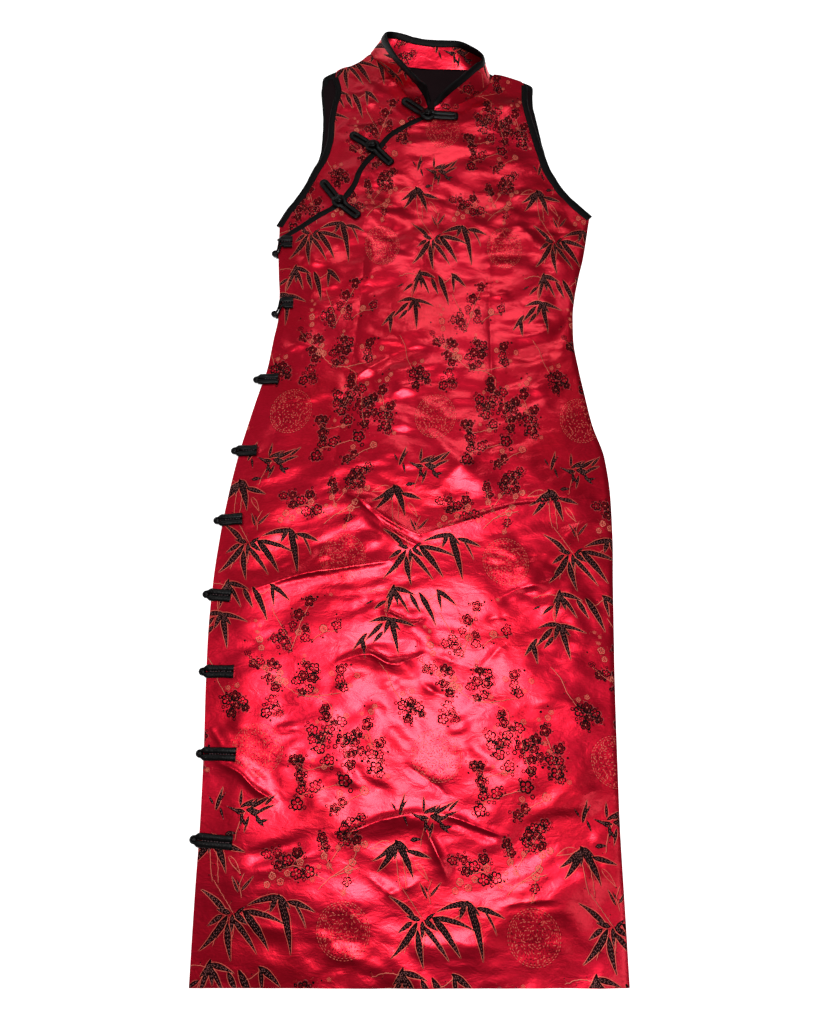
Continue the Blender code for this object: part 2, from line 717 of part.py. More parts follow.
none = np.zeros((0, 2))
for i in range(3):
    foot = (FROGS["tail_x"][i], FROGS["tail_h"][i])
    knot = (FROGS["knot_x"][i], FROGS["knot_h"][i])
    loop = (FROGS["loop_x"][i], FROGS["loop_h"][i])

    def cord_low(x, h):
        return highest((front_top,), x, h) + 0.9

    def cord_top(x, h):
        return cord_low(x, h) + CORD

    slab("frog_%d_loop" % (i + 1), bar_outline(loop, knot, 0, KNOT_RADIUS + 0.5, 84.0), none, cord_low, cord_top, "cord")
    slab("frog_%d_tail" % (i + 1), bar_outline(foot, knot, 2.0), none, cord_low, cord_top, "cord")
    z = float(cord_low(np.array([knot[0]]), np.array([knot[1]]))[0]) + KNOT_RADIUS * 0.8 + 0.2
    KNOTS.append(("frog_%d_knot" % (i + 1), PIECES.pop(), ball((knot[0], knot[1], z), KNOT_RADIUS, 0.8)))

for i in range(9):
    h = float(SIDE_FROGS["knot_h"][i])
    knot = (float(left_side(h)) - SIDE_FROGS["out"][i], h)
    foot = (knot[0] + 30.0, h)
    loop = (SIDE_FROGS["loop_x"][i], SIDE_FROGS["loop_h"][i])

    def side_low(x, h):
        return highest((front_top,), np.maximum(x, left_side(h)), h) + 0.6

    def side_top(x, h):
        return side_low(x, h) + CORD

    slab("side_frog_%d_loop" % (i + 1), bar_outline(loop, knot, 0, SIDE_KNOT_RADIUS + 0.5, 104.0, SIDE_BAR), none,
         side_low, side_top, "cord")
    slab("side_frog_%d_tail" % (i + 1), bar_outline(foot, knot, 1.0), none,
         lambda x, h: 0.0 * x, lambda x, h: 0.0 * x + 2.0, "cord")
    KNOTS.append(("side_frog_%d_knot" % (i + 1), PIECES.pop(),
                  ball((knot[0], knot[1], SIDE_KNOT_RADIUS + 0.6), SIDE_KNOT_RADIUS, 1.0)))


# ---------------------------------------------------------------- materials
def finish(name, colour, roughness, sheen=0.0):
    mat = bpy.data.materials.new(name)
    mat.use_nodes = True
    shader = mat.node_tree.nodes["Principled BSDF"]
    shader.inputs["Base Color"].default_value = (*colour, 1.0)
    shader.inputs["Roughness"].default_value = roughness
    shader.inputs["Metallic"].default_value = 0.0
    shader.inputs["Sheen Weight"].default_value = sheen
    mat.diffuse_color = (*colour, 1.0)
    return mat


MATERIALS = {
    "brocade": finish("brocade", (0.62, 0.010, 0.026), 0.34, 0.2),
    "lining": finish("lining", (0.020, 0.008, 0.010), 0.55),
    "binding": finish("binding", (0.012, 0.009, 0.011), 0.45),
    "cord": finish("cord", (0.010, 0.008, 0.010), 0.5),
}


# ------------------------------------------------------------- make objects
low = np.min([p[1].min(0) for p in PIECES] + [np.min(k[2][0], 0) for k in KNOTS], 0)
high = np.max([p[1].max(0) for p in PIECES] + [np.max(k[2][0], 0) for k in KNOTS], 0)
MIDDLE = np.array([(low[0] + high[0]) / 2, (low[1] + high[1]) / 2, 0.0])


def make(name, verts, faces, material):
    placed = (np.asarray(verts, float) - MIDDLE) * MM
    mesh = bpy.data.meshes.new(name)
    mesh.from_pydata([tuple(float(c) for c in v) for v in placed], [], [tuple(int(i) for i in f) for f in faces])
    mesh.validate()
    bm = bmesh.new()
    bm.from_mesh(mesh)
    bmesh.ops.triangulate(bm, faces=[f for f in bm.faces if len(f.verts) > 3])
    bmesh.ops.recalc_face_normals(bm, faces=bm.faces)
    bm.to_mesh(mesh)
    bm.free()
    mesh.shade_smooth()
    mesh.set_sharp_from_angle(angle=math.radians(40))
    mesh.materials.append(MATERIALS[material])
    obj = bpy.data.objects.new(name, mesh)
    bpy.context.scene.collection.objects.link(obj)
    return obj


for name, verts, faces, material in PIECES:
    make(name, verts, faces, material)

for name, tail, (ball_verts, ball_faces) in KNOTS:
    knot = make(name, ball_verts, ball_faces, "cord")
    tool = make(name + "_tail_tool", tail[1], tail[2], "cord")
    join = knot.modifiers.new("tail", "BOOLEAN")
    join.operation = "UNION"
    join.solver = "EXACT"
    join.object = tool
    tool.hide_render = True
    tool.display_type = "WIRE"

print("middle of the dress in table millimetres:", MIDDLE.round(3), "size", (high - low).round(2))
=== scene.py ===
"""Looks of a sleeveless cheongsam dress laid flat on its back.

The dress lies in the XY plane with the hem towards -Y and the stand collar
towards +Y.  Lengths in the tables are millimetres: x from the dress's middle,
h above the hem, z above the ground.  row() turns them into the row frame.
Left and right are the viewer's, looking down on the front.
"""
import bpy
import math
import numpy as np
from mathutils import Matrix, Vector, kdtree
from mathutils.geometry import delaunay_2d_cdt


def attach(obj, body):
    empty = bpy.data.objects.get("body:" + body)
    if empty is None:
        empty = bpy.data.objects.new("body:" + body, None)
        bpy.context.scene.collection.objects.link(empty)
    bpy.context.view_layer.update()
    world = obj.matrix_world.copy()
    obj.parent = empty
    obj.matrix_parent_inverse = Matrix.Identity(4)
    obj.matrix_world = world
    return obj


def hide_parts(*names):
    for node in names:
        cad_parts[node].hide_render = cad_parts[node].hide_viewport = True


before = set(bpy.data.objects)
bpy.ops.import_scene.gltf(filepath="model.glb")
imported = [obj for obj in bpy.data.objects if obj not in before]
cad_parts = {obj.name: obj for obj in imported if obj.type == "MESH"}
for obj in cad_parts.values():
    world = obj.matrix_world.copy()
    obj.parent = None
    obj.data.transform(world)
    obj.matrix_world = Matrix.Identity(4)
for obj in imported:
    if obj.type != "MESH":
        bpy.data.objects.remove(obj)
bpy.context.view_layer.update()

MIDDLE = np.array([0.752, 583.526, 0.0])   # the dress tables' origin in the row frame


def row(points):
    """Table millimetres to the row frame's metres."""
    return (np.asarray(points, float) - MIDDLE) * 0.001

# ------------------------------------------------------------ driving sizes
CLOTH = 1.2            # wall of the brocade panels
LINING = 1.0           # wall of the dark lining
SEAM = 0.3             # space between neighbouring pieces
AIR = 0.6              # least air between the laid layers
BINDING = 7.0          # width of the bias bindings
BINDING_WALL = 1.5     # wall of the bias bindings
COLLAR_WALL = 1.8      # collar with its stiffening
COLLAR_BINDING = 8.0   # depth of the binding on the collar's top edge
COLLAR_BINDING_WALL = 2.4
NECK_CLEAR = 2.4       # neck edge of the panels to the collar's middle
UNDERLAP = 25.0        # how far the small front runs under the large one
EDGE_LIFT = 2.5        # height of the side edge over the knots' tails
LATTICE = 25.0         # spacing of the cloth's facets
CORD = 3.0             # thickness of the frogs' cord
BAR = 7.4              # width of a frog's doubled cord
SIDE_BAR = 13.4        # width of a side frog, whose cord is doubled twice


def table(columns, rows):
    """A short table: {column name: array of its values}."""
    names = columns.split()
    return {n: np.array([r[i] for r in rows], float) for i, n in enumerate(names)}


# Half widths of the dress down its two sides.
SIDES = table("h left right", [
    (0, -214.5, 211.5),
    (60, -215.2, 212.4),
    (130, -214.8, 213.2),
    (210, -216.4, 216.0),
    (290, -220.0, 219.5),
    (350, -221.6, 223.0),
    (400, -220.3, 226.0),
    (450, -216.5, 229.4),
    (500, -210.3, 230.6),
    (545, -202.7, 227.5),
    (590, -192.5, 215.5),
    (630, -182.5, 209.0),
    (660, -174.5, 204.5),
    (700, -169.0, 200.4),
    (735, -164.4, 201.7),
    (760, -164.6, 205.4),
    (790, -166.8, 212.2),
    (820, -168.6, 220.3),
    (850, -169.4, 226.4),
    (876, -170.2, 231.4),
    (886, -170.4, 233.2),
])

# Left armhole from the underarm to the shoulder: the edge of the back, which
# peeps out, and the edge of the front.
ARMHOLE_LEFT = table("h back front", [
    (876, -170.2, -169.8),
    (892, -163.2, -162.4),
    (908, -153.4, -152.4),
    (923, -144.9, -143.6),
    (939, -137.6, -135.8),
    (955, -131.6, -129.0),
    (971, -124.4, -121.0),
    (988, -120.8, -115.6),
    (1004, -120.0, -112.4),
    (1036, -119.8, -111.0),
    (1062, -121.6, -107.6),
    (1085, -124.0, -103.6),
    (1106, -122.0, -108.0),
])

# Right armhole from the underarm to the shoulder.
ARMHOLE_RIGHT = table("h back front", [
    (886, 233.2, 232.6),
    (892, 227.1, 226.5),
    (908, 212.6, 212.0),
    (923, 201.5, 200.9),
    (939, 193.2, 192.4),
    (955, 186.1, 185.0),
    (988, 178.4, 176.2),
    (1021, 173.4, 168.2),
    (1048, 169.3, 162.4),
    (1065, 167.3, 159.8),
    (1092, 168.5, 160.4),
])

# Shoulder lines from the armhole tip to the neck.
SHOULDER_LEFT = table("x h", [(-122, 1106), (-112, 1113.5), (-96, 1125), (-84, 1129), (-70, 1138), (-59.5, 1149)])
SHOULDER_RIGHT = table("x h", [(168.5, 1092), (157.8, 1099), (142.8, 1106), (123.7, 1113), (112, 1114.5)])

# The diagonal opening: the edge of the large front, from the middle of the
# neck down to the side.
OPENING = table("x h", [
    (24, 1045), (5, 1034), (-15, 1022), (-31, 1009), (-44, 991), (-60, 970), (-70.5, 951),
    (-78, 930), (-87, 914), (-99.5, 898), (-121, 883), (-144, 865), (-163, 851), (-169.3, 845.5),
])

# The stand collar, a row for each section, from its left front end round the
# back of the neck to its right front end: the neck seam and the top edge.
COLLAR = table("seam_x seam_h seam_z top_x top_h top_z", [
    (20.0, 1052.0, 6.0, 27.0, 1061.0, 12.0),
    (13.0, 1058.5, 6.0, 23.0, 1066.0, 22.0),
    (-5.0, 1076.0, 6.0, 17.0, 1070.5, 28.0),
    (-15.0, 1094.0, 6.0, 7.0, 1077.5, 32.0),
    (-29.0, 1112.5, 6.0, -8.5, 1096.5, 34.0),
    (-43.0, 1132.6, 6.0, -21.0, 1114.0, 34.0),
    (-52.0, 1143.5, 6.0, -30.5, 1136.5, 32.0),
    (-56.0, 1151.5, 5.0, -35.2, 1157.0, 30.0),
    (-48.0, 1150.5, 3.6, -27.5, 1164.4, 26.5),
    (-35.0, 1142.0, 2.9, -14.5, 1166.0, 23.5),
    (-15.0, 1132.0, 2.6, 2.0, 1161.8, 21.5),
    (19.5, 1126.0, 2.5, 23.5, 1158.4, 20.0),
    (47.5, 1125.0, 2.5, 45.7, 1157.5, 19.5),
    (68.5, 1124.5, 2.6, 65.0, 1154.0, 22.0),
    (89.0, 1123.0, 3.2, 81.0, 1137.5, 29.0),
    (104.0, 1119.5, 4.4, 96.0, 1117.5, 34.0),
    (108.8, 1108.0, 5.6, 96.0, 1107.0, 34.5),
    (106.0, 1094.0, 6.0, 88.0, 1101.5, 34.0),
    (97.5, 1083.5, 6.0, 77.5, 1092.0, 33.0),
    (83.5, 1073.5, 6.0, 64.5, 1080.0, 31.0),
    (68.0, 1063.2, 6.0, 51.0, 1070.0, 28.0),
    (51.0, 1054.5, 6.0, 40.5, 1065.0, 21.0),
    (33.0, 1050.0, 6.0, 31.5, 1060.5, 12.0),
])

# Folds of the front: a line of up to four points, the half width of the fold
# and how high it stands (a dart or a trough is negative).
# name, x1, h1, x2, h2, x3, h3, x4, h4, width, height
FOLDS = [
    ("hip_v_left", -74, 503, -38, 480, -13, 462, 9, 453, 9, 6.0),
    ("hip_v_right", 9, 453, 71, 466, 139, 485, 206, 498, 9, 5.0),
    ("hip_v_lower", -63, 496, -38, 469, -16, 453, 8, 440, 7, 4.0),
    ("thigh_left", -173, 391, -128, 405, -75, 415, -23, 423, 9, 5.0),
    ("thigh_hook", -32, 366, -16, 358, 0, 354, 16, 352, 8, 3.0),
    ("knee_wave", -79, 311, -47, 319, -21, 308, 9, 316, 9, 4.0),
    ("side_crease", -183, 207, -168, 196, -156, 184, -142, 171, 7, 3.5),
    ("side_nick", -206, 245, -202, 238, -198, 231, -194, 224, 6, 2.5),
    ("shin_wave", -74, 138, -32, 148, -1, 155, 60, 149, 9, 5.0),
    ("shin_branch", 14, 144, 22, 130, 30, 115, 38, 99, 8, 3.5),
    ("hem_trough", 29, 84, 80, 114, 137, 140, 204, 146, 20, -3.5),
    ("hem_roll", 60, 52, 105, 76, 150, 92, 200, 100, 20, 4.0),
    ("thigh_roll", 34, 559, 50, 545, 63, 531, 92, 507, 13, 5.0),
    ("dart_left", -56, 869, -65, 732, -82, 601, -92, 528, 6, -0.8),
    ("dart_right", 102, 846, 98, 762, 98, 674, 96, 541, 6, -0.8),
]

# Broad soft swells of the front: middle, reach and height.
SWELLS = table("x h reach_x reach_h height", [
    (-62, 850, 62, 80, 4.2),
    (112, 855, 66, 84, 4.8),
    (20, 1000, 70, 60, 1.6),
    (20, 690, 110, 60, 1.6),
    (40, 535, 120, 46, 2.6),
    (-120, 520, 60, 50, 2.0),
    (60, 400, 110, 50, 2.4),
    (-90, 340, 80, 46, 2.2),
    (120, 290, 70, 60, 2.6),
    (-10, 220, 120, 50, 2.2),
    (-120, 110, 70, 60, 2.6),
    (120, 190, 70, 40, 2.6),
    (0, 30, 70, 40, 1.8),
])

# Frogs on the diagonal opening: the end of the knot's tail, the knot, and the
# end of the loop.
FROGS = table("tail_x tail_h knot_x knot_h loop_x loop_h", [
    (-8, 1066, 23, 1040, 61, 1038),
    (-78, 1008, -51, 988, -27, 961),
    (-115, 932, -93, 899, -69, 877),
])

# Frogs down the side opening: the inner end of the loop, and how far the knot
# stands out from the dress's edge.
SIDE_FROGS = table("loop_x loop_h knot_h out", [
    (-148, 833, 823, 5.6),
    (-146, 745, 736, 6.0),
    (-160, 647, 646, 9.5),
    (-180, 554, 554, 7.0),
    (-192, 471, 469, 7.6),
    (-199, 382, 384, 6.8),
    (-190, 300, 300, 4.8),
    (-182, 215, 216, 4.8),
    (-180, 130, 133, 6.2),
])
KNOT_RADIUS = 5.0
SIDE_KNOT_RADIUS = 4.2



# --------------------------------------------------------------- small tools
def smoothstep(a, b, v):
    t = np.clip((np.asarray(v, float) - a) / (b - a), 0.0, 1.0)
    return t * t * (3.0 - 2.0 * t)


def flow(xs, ys, at):
    """Cubic through a table's rows with slopes that never overshoot."""
    xs, ys = np.asarray(xs, float), np.asarray(ys, float)
    step = np.diff(xs)
    slope = np.diff(ys) / step
    m = np.zeros_like(ys)
    m[0], m[-1] = slope[0], slope[-1]
    for i in range(1, len(xs) - 1):
        if slope[i - 1] * slope[i] > 0.0:
            w1, w2 = 2 * step[i] + step[i - 1], step[i] + 2 * step[i - 1]
            m[i] = (w1 + w2) / (w1 / slope[i - 1] + w2 / slope[i])
    at = np.clip(np.asarray(at, float), xs[0], xs[-1])
    k = np.clip(np.searchsorted(xs, at) - 1, 0, len(step) - 1)
    t = (at - xs[k]) / step[k]
    return ((1 + 2 * t) * (1 - t) ** 2 * ys[k] + t * (1 - t) ** 2 * step[k] * m[k]
            + t * t * (3 - 2 * t) * ys[k + 1] + t * t * (t - 1) * step[k] * m[k + 1])


def left_side(h):
    return flow(SIDES["h"], SIDES["left"], h)


def right_side(h):
    return flow(SIDES["h"], SIDES["right"], h)


def resample(points, step):
    """A smooth line through the points, with a vertex about every step."""
    p = np.asarray(points, float)
    chord = np.concatenate([[0.0], np.cumsum(np.sqrt(((p[1:] - p[:-1]) ** 2).sum(1)))])
    tangent = np.zeros_like(p)
    for i in range(len(p)):
        lo, hi = max(i - 1, 0), min(i + 1, len(p) - 1)
        tangent[i] = (p[hi] - p[lo]) / (chord[hi] - chord[lo])
    n = max(int(round(chord[-1] / step)), 2)
    out = []
    for s in np.linspace(0.0, chord[-1], n + 1):
        k = min(max(int(np.searchsorted(chord, s)) - 1, 0), len(p) - 2)
        width = chord[k + 1] - chord[k]
        t = (s - chord[k]) / width
        out.append((1 + 2 * t) * (1 - t) ** 2 * p[k] + t * (1 - t) ** 2 * width * tangent[k]
                   + t * t * (3 - 2 * t) * p[k + 1] + t * t * (t - 1) * width * tangent[k + 1])
    return np.array(out)


def inset(line, width, turn, start=None, end=None):
    """The line moved sideways: turn +1 is to the left of its travel.

    start and end are the directions of the edges that it runs into, along
    which its two end points slide.
    """
    line = np.asarray(line, float)
    width = np.broadcast_to(np.asarray(width, float), (len(line),))
    tangent = np.zeros_like(line)
    tangent[1:-1] = line[2:] - line[:-2]
    tangent[0], tangent[-1] = line[1] - line[0], line[-1] - line[-2]
    tangent /= np.sqrt((tangent ** 2).sum(1))[:, None]
    normal = np.stack([-tangent[:, 1], tangent[:, 0]], 1) * turn
    out = line + normal * width[:, None]
    for i, way in ((0, start), (-1, end)):
        if way is not None:
            way = np.asarray(way, float) / np.hypot(*way)
            out[i] = line[i] + way * width[i] / max(abs(float(np.dot(way, normal[i]))), 0.35)
    return out


def line_distance(line, x, h):
    """Distance of points to a line, and how far along it they lie (0 to 1)."""
    line = np.asarray(line, float)
    q = np.stack([np.ravel(x), np.ravel(h)], 1).astype(float)
    seg = line[1:] - line[:-1]
    length = np.sqrt((seg ** 2).sum(1))
    run = np.concatenate([[0.0], np.cumsum(length)])
    best = np.full(len(q), 1e9)
    along = np.zeros(len(q))
    for i in range(len(seg)):
        t = np.clip(((q - line[i]) @ seg[i]) / (length[i] ** 2), 0.0, 1.0)
        d = np.sqrt(((q - line[i] - t[:, None] * seg[i]) ** 2).sum(1))
        near = d < best
        best[near] = d[near]
        along[near] = (run[i] + t[near] * length[i]) / run[-1]
    return best.reshape(np.shape(x)), along.reshape(np.shape(x))


def inside(outline, x, h):
    """True for points inside a closed outline."""
    o = np.asarray(outline, float)
    x, h = np.asarray(x, float), np.asarray(h, float)
    hit = np.zeros(x.shape, bool)
    for (x1, h1), (x2, h2) in zip(o, np.roll(o, -1, 0)):
        if h1 == h2:
            continue
        cross = ((h1 > h) != (h2 > h)) & (x < (x2 - x1) * (h - h1) / (h2 - h1) + x1)
        hit ^= cross
    return hit


# ------------------------------------------------------------ outline curves
def column(h0, h1, side, step=LATTICE):
    n = max(int(round(abs(h1 - h0) / step)), 1)
    hs = np.linspace(h0, h1, n + 1)
    return np.stack([side(hs), hs], 1)


def rows(t, a, b):
    return np.stack([t[a], t[b]], 1)


arm_left_back = resample(rows(ARMHOLE_LEFT, "back", "h"), 15)
arm_left_front = resample(rows(ARMHOLE_LEFT, "front", "h"), 15)
arm_right_back = resample(rows(ARMHOLE_RIGHT, "back", "h"), 15)
arm_right_front = resample(rows(ARMHOLE_RIGHT, "front", "h"), 15)
shoulder_left = resample(rows(SHOULDER_LEFT, "x", "h"), 15)
shoulder_right = resample(rows(SHOULDER_RIGHT, "x", "h"), 15)
opening = resample(rows(OPENING, "x", "h"), 12)
seam_row = rows(COLLAR, "seam_x", "seam_h")
neck_left = inset(seam_row[0:8], NECK_CLEAR, +1)      # travels from the middle up to the left
neck_back = inset(seam_row[8:16], NECK_CLEAR, -1)     # travels to the right
neck_right = inset(seam_row[17:23], NECK_CLEAR, +1)   # travels down to the middle

UNDERARM_LEFT, UNDERARM_RIGHT, OPENING_FOOT = 876.0, 886.0, 846.0
DOWN = (0.0, -1.0)
IN_LEFT_SHOULDER = (10.0, 7.5)
IN_RIGHT_SHOULDER = (-10.7, 7.0)


def snap_side(line, side, which):
    """Put the line's end point exactly on the dress's side."""
    line[which][0] = side(line[which][1])
    return line


EDGE = BINDING + SEAM
arm_lb_in = snap_side(inset(arm_left_back, EDGE, -1, DOWN, IN_LEFT_SHOULDER), left_side, 0)
arm_lf_in = snap_side(inset(arm_left_front, EDGE, -1, DOWN, IN_LEFT_SHOULDER), left_side, 0)
arm_rb_in = snap_side(inset(arm_right_back, EDGE, +1, DOWN, IN_RIGHT_SHOULDER), right_side, 0)
arm_rf_in = snap_side(inset(arm_right_front, EDGE, +1, DOWN, IN_RIGHT_SHOULDER), right_side, 0)
opening_in = snap_side(inset(opening, EDGE, +1, None, DOWN), left_side, -1)
underlap_edge = snap_side(inset(opening, UNDERLAP, +1, None, DOWN), left_side, -1)


# ------------------------------------------------------------ cloth surfaces
def fold_line(row):
    return np.array([(row[1], row[2]), (row[3], row[4]), (row[5], row[6]), (row[7], row[8])], float)


fold_lines = [(f[0], resample(fold_line(f), 14), float(f[9]), float(f[10])) for f in FOLDS]
rim = [
    np.concatenate([column(0, UNDERARM_LEFT, left_side), arm_left_front[1:], shoulder_left]),
    np.concatenate([column(0, UNDERARM_RIGHT, right_side), arm_right_front[1:], shoulder_right]),
]


def edge_lift(x, h):
    """The side edge lies on the knots' tails and so stands a little higher."""
    away = x - left_side(h)
    return (EDGE_LIFT * (1.0 - smoothstep(32, 92, away))
            * smoothstep(45, 112, h) * (1.0 - smoothstep(846, 905, h)))


def loft(x, h):
    """Air and folds between the front and what it lies on."""
    rise = np.full(np.shape(x), 0.8)
    for i in range(len(SWELLS["x"])):
        rise = rise + SWELLS["height"][i] * np.exp(
            -((x - SWELLS["x"][i]) / SWELLS["reach_x"][i]) ** 2
            - ((h - SWELLS["h"][i]) / SWELLS["reach_h"][i]) ** 2)
    for name, line, width, height in fold_lines:
        d, along = line_distance(line, x, h)
        taper = np.sin(math.pi * np.clip(0.06 + 0.88 * along, 0, 1)) ** 0.6
        rise = rise + height * taper * np.exp(-(d / width) ** 2)
    ease = 1.0
    for line in rim:
        ease = ease * smoothstep(-4, 46, line_distance(line, x, h)[0])
    return AIR + np.maximum(rise, 0.0) * ease


def back_low(x, h):
    return edge_lift(x, h)


def back_top(x, h):
    return edge_lift(x, h) + CLOTH


def over_back(x, h):
    """What the front lies on: the back, and the lining over its upper part."""
    return back_top(x, h) + SEAM + smoothstep(905, 955, h) * (LINING + SEAM)


def lining_low(x, h):
    return back_top(x, h) + SEAM


def lining_top(x, h):
    return lining_low(x, h) + LINING


def underlap_low(x, h):
    return over_back(x, h) + loft(x, h)


def underlap_top(x, h):
    return underlap_low(x, h) + CLOTH


def front_low(x, h):
    over = 1.0 - smoothstep(UNDERLAP + 8, UNDERLAP + 62, line_distance(opening, x, h)[0])
    return underlap_low(x, h) + over * (CLOTH + 2 * SEAM)


def front_top(x, h):
    return front_low(x, h) + CLOTH



def collar_sections(share_from_top=None):
    """Smooth sections of the collar: the cloth below, or the binding on top."""
    seam = np.stack([COLLAR["seam_x"], COLLAR["seam_h"], COLLAR["seam_z"]], 1)
    top = np.stack([COLLAR["top_x"], COLLAR["top_h"], COLLAR["top_z"]], 1)
    both = resample(np.concatenate([seam, top], 1), 13.0)
    seam, top = both[:, :3], both[:, 3:]
    height = np.sqrt(((top - seam) ** 2).sum(1))
    split = 1.0 - COLLAR_BINDING / height
    gap = SEAM / height
    out = []
    for s, t, k, g in zip(seam, top, split, gap):
        span = np.linspace(0.0, k - g, 4) if share_from_top is None else np.linspace(k, 1.0, 3)
        out.append([s + (t - s) * v for v in span])
    return np.array(out)

def highest(tops, x, h, reach=5.0):
    """The highest cloth within a cord's reach of each point."""
    best = np.full(np.shape(x), -1e9)
    for a in np.linspace(0, 2 * math.pi, 8, endpoint=False):
        for r in (0.0, reach):
            px, ph = np.asarray(x) + r * math.cos(a), np.asarray(h) + r * math.sin(a)
            for top in tops:
                best = np.maximum(best, top(px, ph))
    return best



# --------------------------------------------------------- the cloth's relief
# Creases of the front: a line of four points, the half width
# of its crest, its height (a dark trough is negative), and the trough beside
# it: which side (+1 is to the left of its travel, 0 is none) and how deep.
CREASES = [
    ("hip_v_left", -74, 502, -56, 493, -26, 469, 9, 452, 3.2, 2.4, -1, 2.2),
    ("hip_v_right", 9, 452, 56, 466, 113, 484, 207, 497, 3.0, 2.3, 1, 1.6),
    ("hip_v_low", -63, 495, -41, 475, -16, 452, 8, 439, 2.8, 2.0, 1, 1.4),
    ("thigh_line", -172, 390, -127, 405, -75, 414, -22, 422, 2.8, 2.2, -1, 2.0),
    ("hook", -32, 365, -18, 359, -1, 351, 16, 355, 2.8, 2.2, 1, 2.6),
    ("knee_line", -79, 311, -47, 319, -20, 308, 15, 319, 3.0, 2.2, 1, 1.8),
    ("knee_dark", -72, 325, -45, 330, -17, 333, 8, 333, 5.0, -1.6, 0, 0),
    ("streak", 101, 374, 115, 380, 130, 386, 143, 391, 5.0, -2.6, 0, 0),
    ("streak_top", 100, 381, 122, 391, 143, 395, 171, 406, 3.0, 1.6, 0, 0),
    ("shin_dip", 10, 289, 18, 283, 29, 277, 40, 273, 4.5, -2.6, 0, 0),
    ("knee_nick", 80, 355, 89, 358, 98, 359, 106, 360, 4.0, -1.8, 0, 0),
    ("knee_slant", 78, 308, 88, 317, 96, 325, 105, 331, 4.0, -1.4, 0, 0),
    ("shin_line", -76, 137, -57, 142, -32, 151, 7, 159, 3.0, 2.0, 1, 1.6),
    ("shin_line_right", 30, 157, 45, 153, 70, 144, 90, 137, 3.0, 2.4, -1, 3.0),
    ("shin_branch", 14, 144, 21, 131, 29, 114, 35, 99, 2.8, 1.8, 1, 1.0),
    ("shin_dark", -63, 205, -48, 190, -27, 180, -15, 178, 6.0, -3.0, 0, 0),
    ("shin_slant", -6, 205, 9, 195, 25, 185, 38, 174, 4.0, -1.8, 0, 0),
    ("round_dip", 46, 224, 62, 223, 74, 218, 84, 213, 8.0, -2.4, 0, 0),
    ("hem_dark", 84, 109, 110, 123, 136, 137, 167, 153, 13.0, -3.2, 0, 0),
    ("hem_bright", 70, 123, 100, 140, 137, 163, 196, 205, 10.0, 2.2, 0, 0),
    ("hem_left", -46, 100, -33, 92, -23, 85, -13, 76, 4.0, 1.4, 1, 1.0),
    ("hem_faint", 88, 72, 108, 75, 128, 77, 149, 78, 3.0, 0.9, -1, 0.6),
    ("side_short", -216, 245, -209, 239, -203, 231, -198, 224, 2.6, 1.9, 1, 1.4),
    ("side_long", -201, 207, -179, 198, -161, 182, -140, 170, 2.8, 2.4, 1, 2.0),
    ("side_dark", -220, 317, -202, 323, -180, 328, -155, 328, 5.5, -2.0, 0, 0),
    ("ankle_left", -163, 103, -136, 109, -112, 116, -84, 126, 5.0, 2.0, 1, 2.2),
    ("ankle_dark", -174, 112, -157, 116, -140, 121, -112, 133, 8.0, -1.8, 0, 0),
    ("waist_left", -169, 678, -154, 688, -136, 694, -119, 693, 6.0, 2.0, -1, 1.8),
    ("waist_slant", -71, 649, -55, 659, -38, 671, -18, 684, 4.5, 2.0, -1, 1.8),
    ("waist_mid", -18, 684, 1, 691, 23, 693, 43, 687, 4.5, 1.6, -1, 1.2),
    ("yoke", 19, 968, 52, 981, 86, 989, 120, 1007, 10.0, 1.8, -1, 1.4),
    ("yoke_streak", -102, 1014, -93, 1025, -83, 1037, -72, 1047, 4.0, 1.6, 0, 0),
    ("arm_streak", -99, 1047, -94, 1062, -89, 1078, -83, 1095, 4.0, 1.6, 1, 1.0),
    ("opening_roll", -17, 999, -7, 1015, 9, 1025, 31, 1032, 5.0, 1.2, 0, 0),
    ("bust_left", -58, 855, -51, 834, -49, 810, -54, 778, 10.0, 2.2, 0, 0),
    ("bust_dark", -76, 761, -58, 764, -39, 770, -19, 778, 8.0, -1.8, 0, 0),
    ("bust_arch", 104, 834, 118, 855, 140, 861, 158, 846, 4.5, 1.6, -1, 1.4),
    ("hip_right", 168, 446, 186, 460, 204, 467, 222, 469, 4.0, 1.8, -1, 1.4),
    ("belly", 33, 508, 52, 530, 74, 545, 95, 552, 7.0, 1.8, -1, 1.6),
    ("knee_right", 31, 317, 51, 308, 70, 304, 89, 306, 4.5, -1.6, 0, 0),
    ("foot_left", -176, 62, -156, 55, -132, 51, -109, 46, 6.0, 1.6, -1, 1.2),
    ("foot_mid", 9, 34, 38, 39, 67, 37, 91, 32, 5.0, 1.2, 1, 1.0),
    ("thigh_right", 150, 423, 162, 416, 178, 416, 194, 423, 4.5, -1.6, 0, 0),
    ("hip_left", -133, 616, -109, 627, -85, 629, -66, 622, 5.0, 1.4, -1, 1.0),
    ("waist_right", 110, 713, 134, 705, 159, 708, 186, 719, 5.0, 1.4, -1, 1.2),
    ("knee_far", 118, 323, 140, 334, 167, 334, 194, 325, 5.0, 1.4, 1, 1.0),
    ("hip_side", -208, 530, -191, 520, -172, 518, -152, 523, 5.0, 1.4, 1, 1.2),
    ("shin_far", 132, 265, 153, 270, 174, 264, 189, 254, 6.0, 1.6, -1, 1.0),
    ("hem_glint", -25, 82, -13, 87, -1, 90, 9, 96, 4.0, 1.6, 0, 0),
    ("belly_top", 23, 612, 53, 622, 83, 619, 112, 606, 6.0, 1.2, -1, 1.0),
    ("dart_left", -56, 869, -65, 732, -82, 601, -92, 528, 1.7, -0.7, 0, 0),
    ("dart_right", 102, 846, 98, 762, 98, 674, 96, 541, 1.7, -0.7, 0, 0),
]


